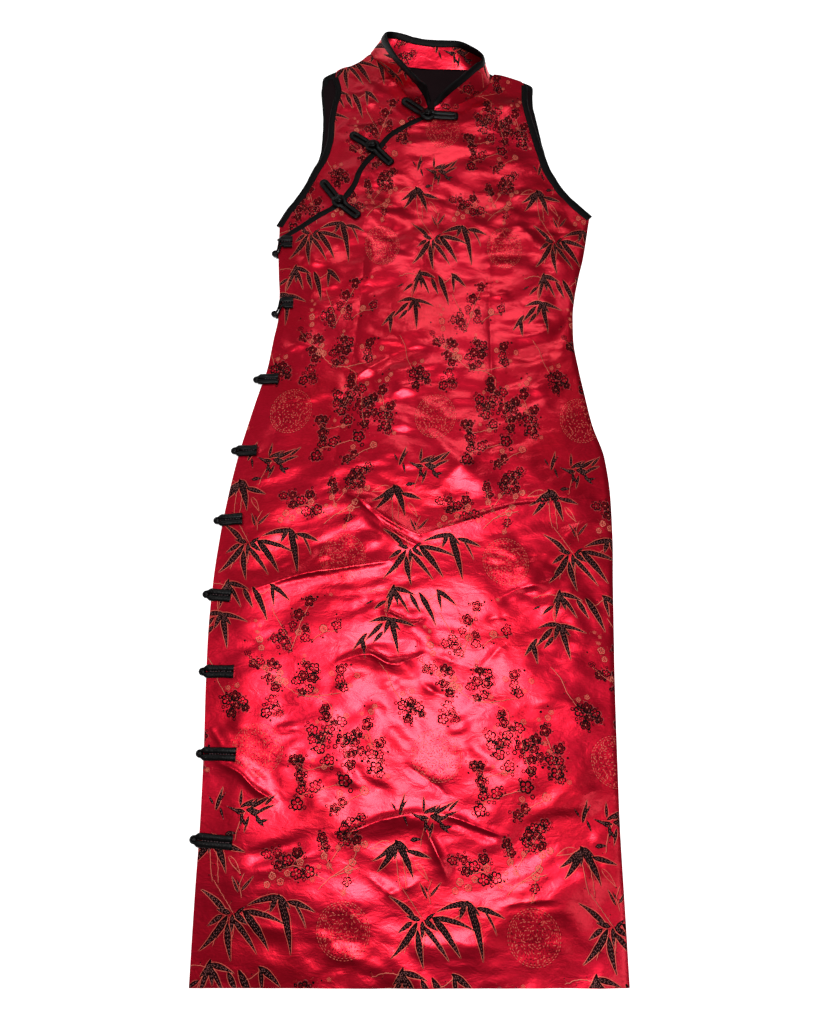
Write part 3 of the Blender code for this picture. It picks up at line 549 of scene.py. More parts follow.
def signed_distance(line, x, h):
    """Distance to a line, positive to the left of its travel, and how far along."""
    line = np.asarray(line, float)
    seg = line[1:] - line[:-1]
    length = np.sqrt((seg ** 2).sum(1))
    run = np.concatenate([[0.0], np.cumsum(length)])
    best = np.full(len(x), 1e9)
    along = np.zeros(len(x))
    side = np.ones(len(x))
    for i in range(len(seg)):
        qx, qh = x - line[i, 0], h - line[i, 1]
        t = np.clip((qx * seg[i, 0] + qh * seg[i, 1]) / length[i] ** 2, 0.0, 1.0)
        d = np.hypot(qx - t * seg[i, 0], qh - t * seg[i, 1])
        near = d < best
        best[near] = d[near]
        along[near] = (run[i] + t[near] * length[i]) / run[-1]
        side[near] = np.where(seg[i, 0] * qh - seg[i, 1] * qx >= 0, 1.0, -1.0)[near]
    return best * side, along


def crease_line(c, step=5.0):
    return resample(np.array([(c[1], c[2]), (c[3], c[4]), (c[5], c[6]), (c[7], c[8])], float), step)


def undulation(x, h, seed, low, high, count, turn=0.55, warp=9.0):
    """Irregular soft waves, mostly across the dress, of lengths low to high."""
    rng = np.random.default_rng(seed)
    wx = x + warp * np.sin(h / 47.0 + 1.3 * np.sin(x / 71.0)) + 0.5 * warp * np.sin(h / 19.0 + x / 33.0)
    wh = h + warp * np.sin(x / 53.0 + 1.1 * np.sin(h / 83.0)) + 0.5 * warp * np.sin(x / 23.0 - h / 41.0)
    total = np.zeros_like(wx)
    power = 0.0
    for _ in range(count):
        length = math.exp(rng.uniform(math.log(low), math.log(high)))
        way = math.pi / 2 + rng.normal(0.0, turn)
        phase = rng.uniform(0, 2 * math.pi)
        k = 2 * math.pi / length
        size = length ** 1.05
        total += size * np.sin(k * (math.cos(way) * wx + math.sin(way) * wh) + phase)
        power += size * size / 2
    return total / math.sqrt(power)


def rim_ease(x, h):
    ease = 1.0
    for line in rim:
        ease = ease * smoothstep(-4, 34, line_distance(line, x, h)[0])
    return ease


def wrinkles(x, h):
    """Creases and soft waves on top of the large folds, in mm."""
    x, h = np.ravel(x).astype(float), np.ravel(h).astype(float)
    calm = 0.55 + 0.45 * np.tanh(undulation(x, h, 5, 130, 260, 6, 1.2))
    upper = smoothstep(560, 720, h)
    thigh = np.exp(-((h - 370.0) / 105.0) ** 2)
    out = (0.46 + 0.62 * upper) * undulation(x, h, 11, 34, 92, 22) * (0.55 + 0.6 * calm)
    fine = undulation(x, h, 23, 17, 36, 22, 0.7)
    sharp = np.maximum(undulation(x, h, 31, 30, 60, 16, 0.5), 0.0)
    out += (0.185 + 0.09 * upper + 0.05 * thigh) * fine * calm
    out += 0.36 * np.minimum(sharp, 1.8) ** 2 * calm - 0.12
    patch = np.clip(0.5 + 0.6 * undulation(x, h, 83, 60, 150, 8, 1.3), 0.12, 1.3)
    out += (0.072 + 0.045 * thigh) * undulation(x, h, 77, 9.5, 18, 26, 0.42, 5.0) * patch
    nick = np.maximum(undulation(x, h, 91, 15, 34, 18, 0.45, 6.0) - 0.9, 0.0)
    out += (0.30 + 0.16 * upper) * np.minimum(nick, 1.2) ** 1.4 * patch
    for c in CREASES:
        width, height, side, depth = c[9:13]
        if width <= 3.2:
            width, height, depth = 0.70 * width, 0.74 * height, 0.72 * depth
        else:
            height, depth = 0.75 * height, 0.65 * depth
        line = crease_line(c)
        reach = 5 * width + 8
        lo, hi = line.min(0) - reach, line.max(0) + reach
        near = np.nonzero((x > lo[0]) & (x < hi[0]) & (h > lo[1]) & (h < hi[1]))[0]
        d, along = signed_distance(line, x[near], h[near])
        taper = np.sin(math.pi * np.clip(0.05 + 0.9 * along, 0, 1)) ** 0.7
        uneven = 0.82 + 0.18 * np.sin(along * 11.0 + c[1])
        bump = height * np.exp(-(np.abs(d) / width) ** 1.7)
        if side:
            bump = bump - depth * np.exp(-((d - side * 2.4 * width) / (1.7 * width)) ** 2)
        out[near] += bump * taper * uneven
    return out


class Field:
    """Heights on an even grid, read between its points by cubics."""

    def __init__(self, make, lo, hi, step):
        self.lo, self.step = np.array(lo, float), float(step)
        nx, nh = int((hi[0] - lo[0]) / step) + 4, int((hi[1] - lo[1]) / step) + 4
        gx = lo[0] + step * np.arange(-1, nx - 1)
        gh = lo[1] + step * np.arange(-1, nh - 1)
        xx, hh = np.meshgrid(gx, gh, indexing="ij")
        self.v = np.asarray(make(xx.ravel(), hh.ravel()), float).reshape(xx.shape)

    def __call__(self, x, h):
        x, h = np.asarray(x, float), np.asarray(h, float)
        shape = x.shape
        x, h = x.ravel(), h.ravel()
        fx = np.clip((x - self.lo[0]) / self.step + 1, 1, self.v.shape[0] - 3.001)
        fh = np.clip((h - self.lo[1]) / self.step + 1, 1, self.v.shape[1] - 3.001)
        ix, ih = fx.astype(int), fh.astype(int)
        tx, th = fx - ix, fh - ih

        def weights(t):
            return (-0.5 * t + t * t - 0.5 * t ** 3, 1 - 2.5 * t * t + 1.5 * t ** 3,
                    0.5 * t + 2 * t * t - 1.5 * t ** 3, -0.5 * t * t + 0.5 * t ** 3)

        wx, wh = weights(tx), weights(th)
        out = np.zeros_like(x)
        for a in range(4):
            for b in range(4):
                out += wx[a] * wh[b] * self.v[ix + a - 1, ih + b - 1]
        return out.reshape(shape)


def soft_loft(x, h):
    """The air under the front, with its large folds as soft as they show."""
    rise = np.full(np.shape(x), 0.8)
    for i in range(len(SWELLS["x"])):
        rise = rise + SWELLS["height"][i] * np.exp(
            -((x - SWELLS["x"][i]) / SWELLS["reach_x"][i]) ** 2
            - ((h - SWELLS["h"][i]) / SWELLS["reach_h"][i]) ** 2)
    for name, line, width, height in fold_lines:
        d, along = line_distance(line, x, h)
        taper = np.sin(math.pi * np.clip(0.06 + 0.88 * along, 0, 1)) ** 0.6
        rise = rise + 0.60 * height * taper * np.exp(-(d / (1.12 * width)) ** 2)
    ease = 1.0
    for line in rim:
        ease = ease * smoothstep(-4, 46, line_distance(line, x, h)[0])
    return AIR + np.maximum(rise, 0.0) * ease


def air_field(x, h):
    ease = rim_ease(x, h)
    folds = soft_loft(x, h)
    return np.maximum(folds + wrinkles(x, h) * ease, 0.62)


GRID = 2.0
air = Field(air_field, (-240.0, -8.0), (250.0, 1176.0), GRID)
overlap = Field(lambda x, h: 1.0 - smoothstep(UNDERLAP + 8, UNDERLAP + 62, line_distance(opening, x, h)[0]),
                (-240.0, 760.0), (250.0, 1176.0), 4.0)


def underlap_z(x, h):
    """Upper face of the small front."""
    return over_back(x, h) + air(x, h) + CLOTH


def side_drop(x, h):
    """The closed side seam pulls the front's right edge down to the back."""
    away = right_side(h) - x
    return 1.1 * np.exp(-(np.maximum(away, 0.0) / 2.2) ** 2) * (1.0 - smoothstep(860, 884, h))


def front_z(x, h):
    """Upper face of the large front."""
    over = np.where(np.asarray(h) > 764, np.clip(overlap(x, h), 0, 1), 0.0)
    return underlap_z(x, h) + over * (CLOTH + 2 * SEAM) - side_drop(x, h)


# ------------------------------------------------------------- mesh makers
def dense_points(outline, spacing, extra=None, margin=0.55):
    """A triangular lattice inside an outline, clear of it and of extra points."""
    o = np.asarray(outline, float)
    lo, hi = o.min(0), o.max(0)
    rise = spacing * math.sqrt(0.75)
    kept = []
    a, b = o, np.roll(o, -1, 0)
    for j in range(int(lo[1] // rise), int(hi[1] // rise) + 2):
        h = j * rise + 1e-4
        cut = (a[:, 1] > h) != (b[:, 1] > h)
        if not cut.any():
            continue
        xs = np.sort(a[cut, 0] + (h - a[cut, 1]) * (b[cut, 0] - a[cut, 0]) / (b[cut, 1] - a[cut, 1]))
        grid = (np.arange(int(lo[0] // spacing) - 1, int(hi[0] // spacing) + 2) + 0.5 * (j % 2)) * spacing
        ok = (np.searchsorted(xs, grid) % 2) == 1
        kept.append(np.stack([grid[ok], np.full(ok.sum(), h)], 1))
    grid = np.concatenate(kept)
    samples = []
    for p, q in zip(a, b):
        n = max(int(np.hypot(*(q - p)) / (0.5 * spacing)), 1)
        samples += [p + (q - p) * k / n for k in range(n)]
    tree = kdtree.KDTree(len(samples))
    for i, p in enumerate(samples):
        tree.insert((p[0], p[1], 0.0), i)
    tree.balance()
    grid = grid[[tree.find((p[0], p[1], 0.0))[2] > margin * spacing for p in grid]]
    if extra is not None and len(extra):
        extra = np.asarray(extra, float)
        extra = extra[inside(o, extra[:, 0], extra[:, 1])]
        extra = extra[[tree.find((p[0], p[1], 0.0))[2] > margin * spacing for p in extra]]
        more = kdtree.KDTree(len(extra))
        for i, p in enumerate(extra):
            more.insert((p[0], p[1], 0.0), i)
        more.balance()
        grid = grid[[more.find((p[0], p[1], 0.0))[2] > 0.62 * spacing for p in grid]]
        grid = np.concatenate([grid, extra])
    return grid


def crease_points(step=2.0, least=0.85):
    """Vertices along the narrow creases, so that their crests stay sharp."""
    out = []
    for c in CREASES:
        if c[9] > 4.6:
            continue
        line = crease_line(c, step)
        for off in (0.0, 0.45, -0.45, 1.0, -1.0):
            out += list(inset(line, abs(off) * 0.7 * c[9], 1 if off >= 0 else -1))
    kept = []
    cells = {}
    for p in out:
        key = (int(p[0] // least), int(p[1] // least))
        close = False
        for i in (-1, 0, 1):
            for j in (-1, 0, 1):
                for q in cells.get((key[0] + i, key[1] + j), ()):
                    if (p[0] - q[0]) ** 2 + (p[1] - q[1]) ** 2 < least * least:
                        close = True
        if not close:
            cells.setdefault(key, []).append(p)
            kept.append(p)
    return np.array(kept)


def fill(outline, points):
    """Triangles over an outline, with the outline's points first."""
    verts = [Vector((float(a), float(b))) for a, b in outline]
    n = len(verts)
    verts += [Vector((float(a), float(b))) for a, b in points]
    co, _, faces, _, _, _ = delaunay_2d_cdt(verts, [], [list(range(n))], 1, 1e-4)
    co = np.array([(v.x, v.y) for v in co])
    tri = np.array([f for f in faces if len(f) == 3], int)
    a, b, c = co[tri[:, 0]], co[tri[:, 1]], co[tri[:, 2]]
    area = (b[:, 0] - a[:, 0]) * (c[:, 1] - a[:, 1]) - (b[:, 1] - a[:, 1]) * (c[:, 0] - a[:, 0])
    tri, area = tri[np.abs(area) > 1e-3], area[np.abs(area) > 1e-3]
    tri[area < 0] = tri[area < 0][:, ::-1]
    return co, tri


def rim_edges(tri):
    """Directed edges that have a triangle on one side only."""
    e = np.concatenate([tri[:, [0, 1]], tri[:, [1, 2]], tri[:, [2, 0]]])
    have = set(map(tuple, e))
    return [(a, b) for a, b in map(tuple, e) if (b, a) not in have]


def new_mesh(name, verts_mm, faces, material, uv=None, smooth=True, sharp=None):
    mesh = bpy.data.meshes.new(name)
    verts = row(verts_mm).astype(np.float32)
    mesh.vertices.add(len(verts))
    mesh.vertices.foreach_set("co", verts.ravel())
    if isinstance(faces, np.ndarray):
        sizes = np.full(len(faces), faces.shape[1])
        flat = faces.ravel()
    else:
        sizes = np.array([len(f) for f in faces])
        flat = np.array([i for f in faces for i in f])
    mesh.loops.add(len(flat))
    mesh.loops.foreach_set("vertex_index", flat.astype(np.int32))
    mesh.polygons.add(len(sizes))
    mesh.polygons.foreach_set("loop_start", np.concatenate([[0], np.cumsum(sizes)[:-1]]).astype(np.int32))
    mesh.polygons.foreach_set("use_smooth", np.full(len(sizes), smooth))
    if uv is not None:
        layer = mesh.uv_layers.new(name="fabric")
        layer.data.foreach_set("uv", np.asarray(uv, float)[flat].astype(np.float32).ravel())
    mesh.update(calc_edges=True)
    mesh.validate()
    if sharp is not None:
        mesh.set_sharp_from_angle(angle=math.radians(sharp))
    mesh.materials.append(material)
    obj = bpy.data.objects.new(name, mesh)
    bpy.context.scene.collection.objects.link(obj)
    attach(obj, "root")
    return obj


def shell(name, outline, top_points, low_points, top, low, material, uv_of):
    """Thin cloth over an outline: a fine upper face, a plainer lower one."""
    o = np.asarray(outline, float)
    co1, tri1 = fill(o, top_points)
    co2, tri2 = fill(o, low_points)
    n, n1 = len(o), len(co1)
    z1, z2 = top(co1[:, 0], co1[:, 1]), low(co2[:, 0], co2[:, 1])
    verts = np.concatenate([np.column_stack([co1, z1]), np.column_stack([co2, z2])])
    faces = [tri1, tri2[:, ::-1] + n1]
    side = []
    for a, b in rim_edges(tri1):
        if a < n and b < n:
            side += [(b, a, a + n1), (b, a + n1, b + n1)]
    faces.append(np.array(side))
    uv = np.stack(uv_of(verts[:, 0], verts[:, 1]), 1) * 0.001
    return new_mesh(name, verts, np.concatenate(faces), material, uv, sharp=50)


def sweep(name, centre, across, up, half_width, half_height, material, sides=14, square=2.6, uv_shift=0.0):
    """A closed, rounded strip along a line; the sizes may vary along it."""
    c = np.asarray(centre, float)
    n = len(c)
    w = np.broadcast_to(np.asarray(half_width, float), (n,))
    t = np.broadcast_to(np.asarray(half_height, float), (n,))
    run = np.concatenate([[0.0], np.cumsum(np.sqrt(((c[1:] - c[:-1]) ** 2).sum(1)))])
    verts, uvs = [], []
    for i in range(n):
        for k in range(sides):
            a = 2 * math.pi * k / sides
            ca, sa = math.cos(a), math.sin(a)
            px = abs(ca) ** (2 / square) * (1 if ca >= 0 else -1)
            pz = abs(sa) ** (2 / square) * (1 if sa >= 0 else -1)
            verts.append(c[i] + across[i] * w[i] * px + up[i] * t[i] * pz)
            uvs.append((run[i], k * 2.0 * (w[i] + t[i]) / sides + uv_shift))
    faces = []
    for i in range(n - 1):
        for k in range(sides):
            k2 = (k + 1) % sides
            faces.append((i * sides + k, i * sides + k2, (i + 1) * sides + k2, (i + 1) * sides + k))
    for i, flip in ((0, 1), (n - 1, 0)):
        hub = len(verts)
        verts.append(c[i])
        uvs.append((run[i], 0.0))
        for k in range(sides):
            f = (hub, i * sides + k, i * sides + (k + 1) % sides)
            faces.append(f[::-1] if flip else f)
    v = np.array(verts)
    first = np.cross(v[faces[0][1]] - v[faces[0][0]], v[faces[0][3]] - v[faces[0][0]])
    if np.dot(first, v[faces[0][0]] - c[0]) < 0:
        faces = [f[::-1] for f in faces]
    return v, faces, np.array(uvs) * 0.001


def joined(name, parts, material, sharp=None):
    """Several (verts, faces, uv) as one mesh."""
    verts, faces, uvs, at = [], [], [], 0
    for v, f, u in parts:
        verts.append(v)
        uvs.append(u)
        faces += [tuple(int(i) + at for i in q) for q in f]
        at += len(v)
    return new_mesh(name, np.concatenate(verts), faces, material, np.concatenate(uvs), sharp=sharp)


def tube(path, radius, flat=1.0, sides=10):
    """A cord along a path in mm, a little flattened in z."""
    p = np.asarray(path, float)
    t = np.gradient(p, axis=0)
    t /= np.sqrt((t ** 2).sum(1))[:, None] + 1e-12
    up = np.tile([0.0, 0.0, 1.0], (len(p), 1))
    across = np.cross(t, up)
    size = np.sqrt((across ** 2).sum(1))
    across[size < 0.05] = (1.0, 0.0, 0.0)
    across /= np.sqrt((across ** 2).sum(1))[:, None]
    up = np.cross(across, t)
    return sweep("", p, across, up, radius, radius * flat, None, sides, 2.0)


# ---------------------------------------------------------------- materials
def node(tree, kind, place, **values):
    n = tree.nodes.new(kind)
    n.location = place
    for k, v in values.items():
        if k in n.inputs:
            n.inputs[k].default_value = v
        else:
            setattr(n, k, v)
    return n


def fabric(name, deep, bright, roughness, spread=0.05, metallic=0.0, sheen=0.0, sheen_tint=(1, 1, 1),
           sheen_roughness=0.4, fine=(2200, 500), slub=(45, 900), bump=0.25, depth=0.00012, anisotropic=0.0,
           coat=0.0, cloud=9.0, specular=0.5, crumple=0.0):
    """Woven cloth: colour and gloss vary along its threads, by the fabric's own map."""
    mat = bpy.data.materials.new(name)
    mat.use_nodes = True
    tree = mat.node_tree
    shader = tree.nodes["Principled BSDF"]
    link = tree.links.new
    uv = node(tree, "ShaderNodeUVMap", (-1300, 0), uv_map="fabric")
    weave_map = node(tree, "ShaderNodeMapping", (-1100, -300))
    weave_map.inputs["Scale"].default_value = (fine[0], fine[1], 1.0)
    weave = node(tree, "ShaderNodeTexNoise", (-900, -300), Scale=1.0, Detail=2.0, Roughness=0.55)
    slub_map = node(tree, "ShaderNodeMapping", (-1100, 100))
    slub_map.inputs["Scale"].default_value = (slub[0], slub[1], 1.0)
    slubs = node(tree, "ShaderNodeTexNoise", (-900, 100), Scale=1.0, Detail=3.0, Roughness=0.6)
    cloud_map = node(tree, "ShaderNodeMapping", (-1100, 450))
    cloud_map.inputs["Scale"].default_value = (cloud, cloud * 1.4, 1.0)
    clouds = node(tree, "ShaderNodeTexNoise", (-900, 450), Scale=1.0, Detail=3.0, Roughness=0.55)
    for m, n in ((weave_map, weave), (slub_map, slubs), (cloud_map, clouds)):
        link(uv.outputs["UV"], m.inputs["Vector"])
        link(m.outputs["Vector"], n.inputs["Vector"])
    both = node(tree, "ShaderNodeMath", (-700, 300), operation="MULTIPLY_ADD")
    link(slubs.outputs["Fac"], both.inputs[0])
    both.inputs[1].default_value = 0.5
    half = node(tree, "ShaderNodeMath", (-700, 480), operation="MULTIPLY")
    link(clouds.outputs["Fac"], half.inputs[0])
    half.inputs[1].default_value = 0.5
    link(half.outputs[0], both.inputs[2])
    ramp = node(tree, "ShaderNodeValToRGB", (-500, 300))
    ramp.color_ramp.elements[0].position = 0.34
    ramp.color_ramp.elements[0].color = (*deep, 1)
    ramp.color_ramp.elements[1].position = 0.66
    ramp.color_ramp.elements[1].color = (*bright, 1)
    link(both.outputs[0], ramp.inputs["Fac"])
    link(ramp.outputs["Color"], shader.inputs["Base Color"])
    gloss = node(tree, "ShaderNodeMapRange", (-500, 0))
    gloss.inputs["To Min"].default_value = roughness - spread
    gloss.inputs["To Max"].default_value = roughness + spread
    gloss.inputs["From Min"].default_value = 0.3
    gloss.inputs["From Max"].default_value = 0.7
    link(slubs.outputs["Fac"], gloss.inputs["Value"])
    link(gloss.outputs["Result"], shader.inputs["Roughness"])
    bumper = node(tree, "ShaderNodeBump", (-300, -300), Strength=bump, Distance=depth)
    link(weave.outputs["Fac"], bumper.inputs["Height"])
    if crumple:
        crumple_map = node(tree, "ShaderNodeMapping", (-1100, -600))
        crumple_map.inputs["Scale"].default_value = (55.0, 95.0, 1.0)
        crumples = node(tree, "ShaderNodeTexNoise", (-900, -600), Scale=1.0, Detail=3.0, Roughness=0.6, Distortion=0.6)
        link(uv.outputs["UV"], crumple_map.inputs["Vector"])
        link(crumple_map.outputs["Vector"], crumples.inputs["Vector"])
        creaser = node(tree, "ShaderNodeBump", (-300, -600), Strength=1.0, Distance=crumple)
        link(crumples.outputs["Fac"], creaser.inputs["Height"])
        link(creaser.outputs["Normal"], bumper.inputs["Normal"])
        link(creaser.outputs["Normal"], shader.inputs["Coat Normal"])
    link(bumper.outputs["Normal"], shader.inputs["Normal"])
    shader.inputs["Metallic"].default_value = metallic
    shader.inputs["Sheen Weight"].default_value = sheen
    shader.inputs["Sheen Tint"].default_value = (*sheen_tint, 1)
    shader.inputs["Sheen Roughness"].default_value = sheen_roughness
    shader.inputs["Anisotropic"].default_value = anisotropic
    shader.inputs["Coat Weight"].default_value = coat
    shader.inputs["Coat Roughness"].default_value = 0.215
    shader.inputs["Specular IOR Level"].default_value = specular
    mat.diffuse_color = (*bright, 1)
    return mat


SATIN = fabric("satin_red", (0.61, 0.0013, 0.016), (0.77, 0.0042, 0.034), 0.335, 0.015, metallic=0.85, sheen=0.0,
               slub=(220, 900), specular=0.22, bump=0.14, coat=0.29, crumple=0.00040)
BLACK_THREAD = fabric("thread_black", (0.0060, 0.0006, 0.0012), (0.020, 0.0022, 0.0034), 0.52, 0.05, specular=0.05,
                      fine=(900, 2600), slub=(300, 1500), bump=0.5, depth=0.0002)
# Dark red thread: the pattern's own dark red strokes and petal fills, and also painted shadow lines beside copper
# stems, leaf outlines, medallion rings and copper blossoms.
WINE_AND_SHADOW_THREAD = fabric("thread_wine_and_shadow", (0.070, 0.0006, 0.0025), (0.15, 0.002, 0.006), 0.60, 0.05, specular=0.05,
                     fine=(2500, 1500), slub=(400, 400), bump=0.4, depth=0.0001)
COPPER_THREAD = fabric("thread_copper", (0.74, 0.070, 0.050), (1.00, 0.270, 0.180), 0.46, 0.06, metallic=0.30,
                       specular=0.3, fine=(2500, 1500), slub=(400, 400), bump=0.4, depth=0.0001)
ROSE_THREAD = fabric("thread_rose", (0.22, 0.048, 0.048), (0.46, 0.15, 0.14), 0.45, 0.06, metallic=0.1,
                     specular=0.3, fine=(2500, 1500), slub=(400, 400), bump=0.4, depth=0.0001)
BINDING_SATIN = fabric("satin_black", (0.0012, 0.0006, 0.0010), (0.0030, 0.0020, 0.0026), 0.46, 0.06, specular=0.14,
                       fine=(2400, 1700), slub=(260, 60), bump=0.6, depth=0.0004)
CORD_SATIN = fabric("cord_black", (0.0010, 0.0005, 0.0008), (0.0030, 0.0018, 0.0024), 0.34, 0.08, specular=0.26,
                    fine=(900, 500), slub=(700, 120), bump=0.7, depth=0.0004)
LINING_SATIN = fabric("lining_dark", (0.0060, 0.0018, 0.0030), (0.0140, 0.0045, 0.0065), 0.50, 0.05, specular=0.08,
                      bump=0.3)
STITCH = fabric("stitch_thread", (0.10, 0.05, 0.06), (0.26, 0.17, 0.19), 0.5, 0.05, fine=(3000, 3000), bump=0.4)


# ------------------------------------------------------------------- panels
def fine(line_rows, step=3.0):
    return resample(line_rows, step)


arm_lb = fine(rows(ARMHOLE_LEFT, "back", "h"))
arm_lf = fine(rows(ARMHOLE_LEFT, "front", "h"))
arm_rb = fine(rows(ARMHOLE_RIGHT, "back", "h"))
arm_rf = fine(rows(ARMHOLE_RIGHT, "front", "h"))
sh_left = fine(rows(SHOULDER_LEFT, "x", "h"))
sh_right = fine(rows(SHOULDER_RIGHT, "x", "h"))
open_line = fine(rows(OPENING, "x", "h"))
seam_fine = resample(seam_row, 3.0)
TUCK = 3.6          # the cloth runs this far short of the edge, inside its binding
NECK_TUCK = -1.6    # and runs this far past the collar's middle, under its foot


def part_of(line, first, last):
    """The stretch of a fine line between two of its table rows."""
    a = int(np.argmin(((line - np.asarray(first)) ** 2).sum(1)))
    b = int(np.argmin(((line - np.asarray(last)) ** 2).sum(1)))
    return line[a:b + 1]


neck_l = inset(part_of(seam_fine, seam_row[0], seam_row[7]), NECK_TUCK, +1)
neck_b = inset(part_of(seam_fine, seam_row[8], seam_row[15]), NECK_TUCK, -1)
neck_r = inset(part_of(seam_fine, seam_row[17], seam_row[22]), NECK_TUCK, +1)


def tucked(line, turn, shoulder, side):
    return snap_side(inset(line, TUCK, turn, DOWN, shoulder), side, 0)


in_lb = tucked(arm_lb, -1, IN_LEFT_SHOULDER, left_side)
in_lf = tucked(arm_lf, -1, IN_LEFT_SHOULDER, left_side)
in_rb = tucked(arm_rb, +1, IN_RIGHT_SHOULDER, right_side)
in_rf = tucked(arm_rf, +1, IN_RIGHT_SHOULDER, right_side)
in_open = snap_side(inset(open_line, TUCK, +1, None, DOWN), left_side, -1)
under_edge = snap_side(inset(open_line, UNDERLAP, +1, None, DOWN), left_side, -1)


def hem(step=3.0):
    n = int(round((right_side(0) - left_side(0)) / step))
    xs = np.linspace(float(left_side(0)), float(right_side(0)), n + 1)
    return np.stack([xs, np.zeros(n + 1)], 1)


def within_shoulder(line, shoulder):
    """The shoulder's points past the end of an edge that runs into it."""
    end = line[-1]
    far = np.abs(shoulder[:, 0] - end[0]) > 1.6
    inner = (shoulder[:, 0] - end[0]) * np.sign(shoulder[-1, 0] - shoulder[0, 0]) > 0
    return shoulder[far & inner]


front_edge = np.concatenate([
    hem()[:-1], column(0, in_rf[0][1], right_side, 3.0)[:-1], in_rf, within_shoulder(in_rf, sh_right)[:-1],
    neck_r, in_open, column(in_open[-1][1], 0, left_side, 3.0)[1:-1]])
back_edge = np.concatenate([
    hem()[:-1], column(0, in_rb[0][1], right_side, 3.0)[:-1], in_rb, within_shoulder(in_rb, sh_right)[:-1],
    neck_b[::-1], within_shoulder(in_lb, sh_left)[::-1][1:], in_lb[::-1], column(in_lb[0][1], 0, left_side, 3.0)[1:-1]])
under_outline = np.concatenate([
    column(under_edge[-1][1], in_lf[0][1], left_side, 3.0)[:-1], in_lf, within_shoulder(in_lf, sh_left)[:-1],
    neck_l[::-1], [(22.5, 1046.0)], under_edge[:-1]])[::-1]
lining_edge = np.concatenate([
    [p for p in in_rb if p[1] > 966], within_shoulder(in_rb, sh_right)[:-1], neck_b[::-1],
    within_shoulder(in_lb, sh_left)[::-1][1:], [p for p in in_lb[::-1] if p[1] > 966],
    np.stack([np.linspace(-118, 176, 60), np.full(60, 960.0)], 1)])

# The fabric's own coordinates: rows of the repeat up the dress (they fall a
# little to the right), and how the darts draw its columns together.
TILT = 0.033
REPEAT_U, REPEAT_V = 187.5, 376.9
REPEAT_ROWS = table("h v", [(-120, -167.8), (47.8, 0), (214.4, 166.6), (424.7, 376.9), (600, 543.5),
                            (834, 753.8), (1017, 920.4), (1200, 1087)])
REPEAT_COLUMNS = table("h scale middle", [(-120, 1, 27), (51, 1, 27.1), (213, 1, 27), (424, 0.978, 14.7),
                                          (596, 0.92, 28.9), (833, 0.8325, 41.4), (1016, 0.86, 42.6), (1200, 0.86, 42.6)])


def to_fabric(x, h):
    hp = np.asarray(h, float) + TILT * np.asarray(x, float)
    scale = flow(REPEAT_COLUMNS["h"], REPEAT_COLUMNS["scale"], hp)
    middle = flow(REPEAT_COLUMNS["h"], REPEAT_COLUMNS["middle"], hp)
    return (x - middle) / scale, flow(REPEAT_ROWS["h"], REPEAT_ROWS["v"], hp)


def from_fabric(u, v):
    hp = flow(REPEAT_ROWS["v"], REPEAT_ROWS["h"], v)
    scale = flow(REPEAT_COLUMNS["h"], REPEAT_COLUMNS["scale"], hp)
    middle = flow(REPEAT_COLUMNS["h"], REPEAT_COLUMNS["middle"], hp)
    x = middle + u * scale
    return x, hp - TILT * x


WALL = 0.9          # the cloth as it shows, a little thinner than its solid
FINE = 3.1          # spacing of the upper face's vertices

creased = crease_points()
front_points = dense_points(front_edge, FINE, creased)
front = shell("front_cloth", front_edge, front_points, dense_points(front_edge, 7.0),
              front_z, lambda x, h: front_z(x, h) - WALL - 0.15, SATIN, to_fabric)
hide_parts("front_panel")

under = shell("underlap_cloth", under_outline, dense_points(under_outline, FINE), dense_points(under_outline, 7.0),
              underlap_z, lambda x, h: underlap_z(x, h) - WALL, SATIN, to_fabric)
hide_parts("front_underlap")


def back_creases(x, h):
    """Shallow creases of the back, which lies on the ground."""
    wave = undulation(np.ravel(x), np.ravel(h), 47, 40, 120, 18)
    soft = np.maximum(wave - 0.5, 0.0) ** 1.5
    return np.minimum(0.42 * soft, 0.55)


back_relief = Field(back_creases, (-240.0, -8.0), (250.0, 1176.0), 5.0)


def back_low_z(x, h):
    return back_low(x, h) + 0.32 + np.maximum(back_relief(x, h), 0.0)


back = shell("back_cloth", back_edge, dense_points(back_edge, 6.5), dense_points(back_edge, 5.0),
             lambda x, h: back_low_z(x, h) + 0.75, back_low_z, SATIN, lambda x, h: to_fabric(-x, h))
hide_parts("back_panel")


def lining_waves(x, h):
    return 0.28 * undulation(np.ravel(x), np.ravel(h), 61, 22, 70, 14, 1.4)


lining_relief = Field(lining_waves, (-200.0, 940.0), (250.0, 1176.0), 4.0)


def lining_z(x, h):
    return back_low(x, h) + 2.15 + np.clip(lining_relief(x, h), -0.3, 0.5)


lining = shell("lining_cloth", lining_edge, dense_points(lining_edge, 5.0), dense_points(lining_edge, 9.0),
               lining_z, lambda x, h: lining_z(x, h) - 0.45, LINING_SATIN, to_fabric)
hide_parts("back_lining")


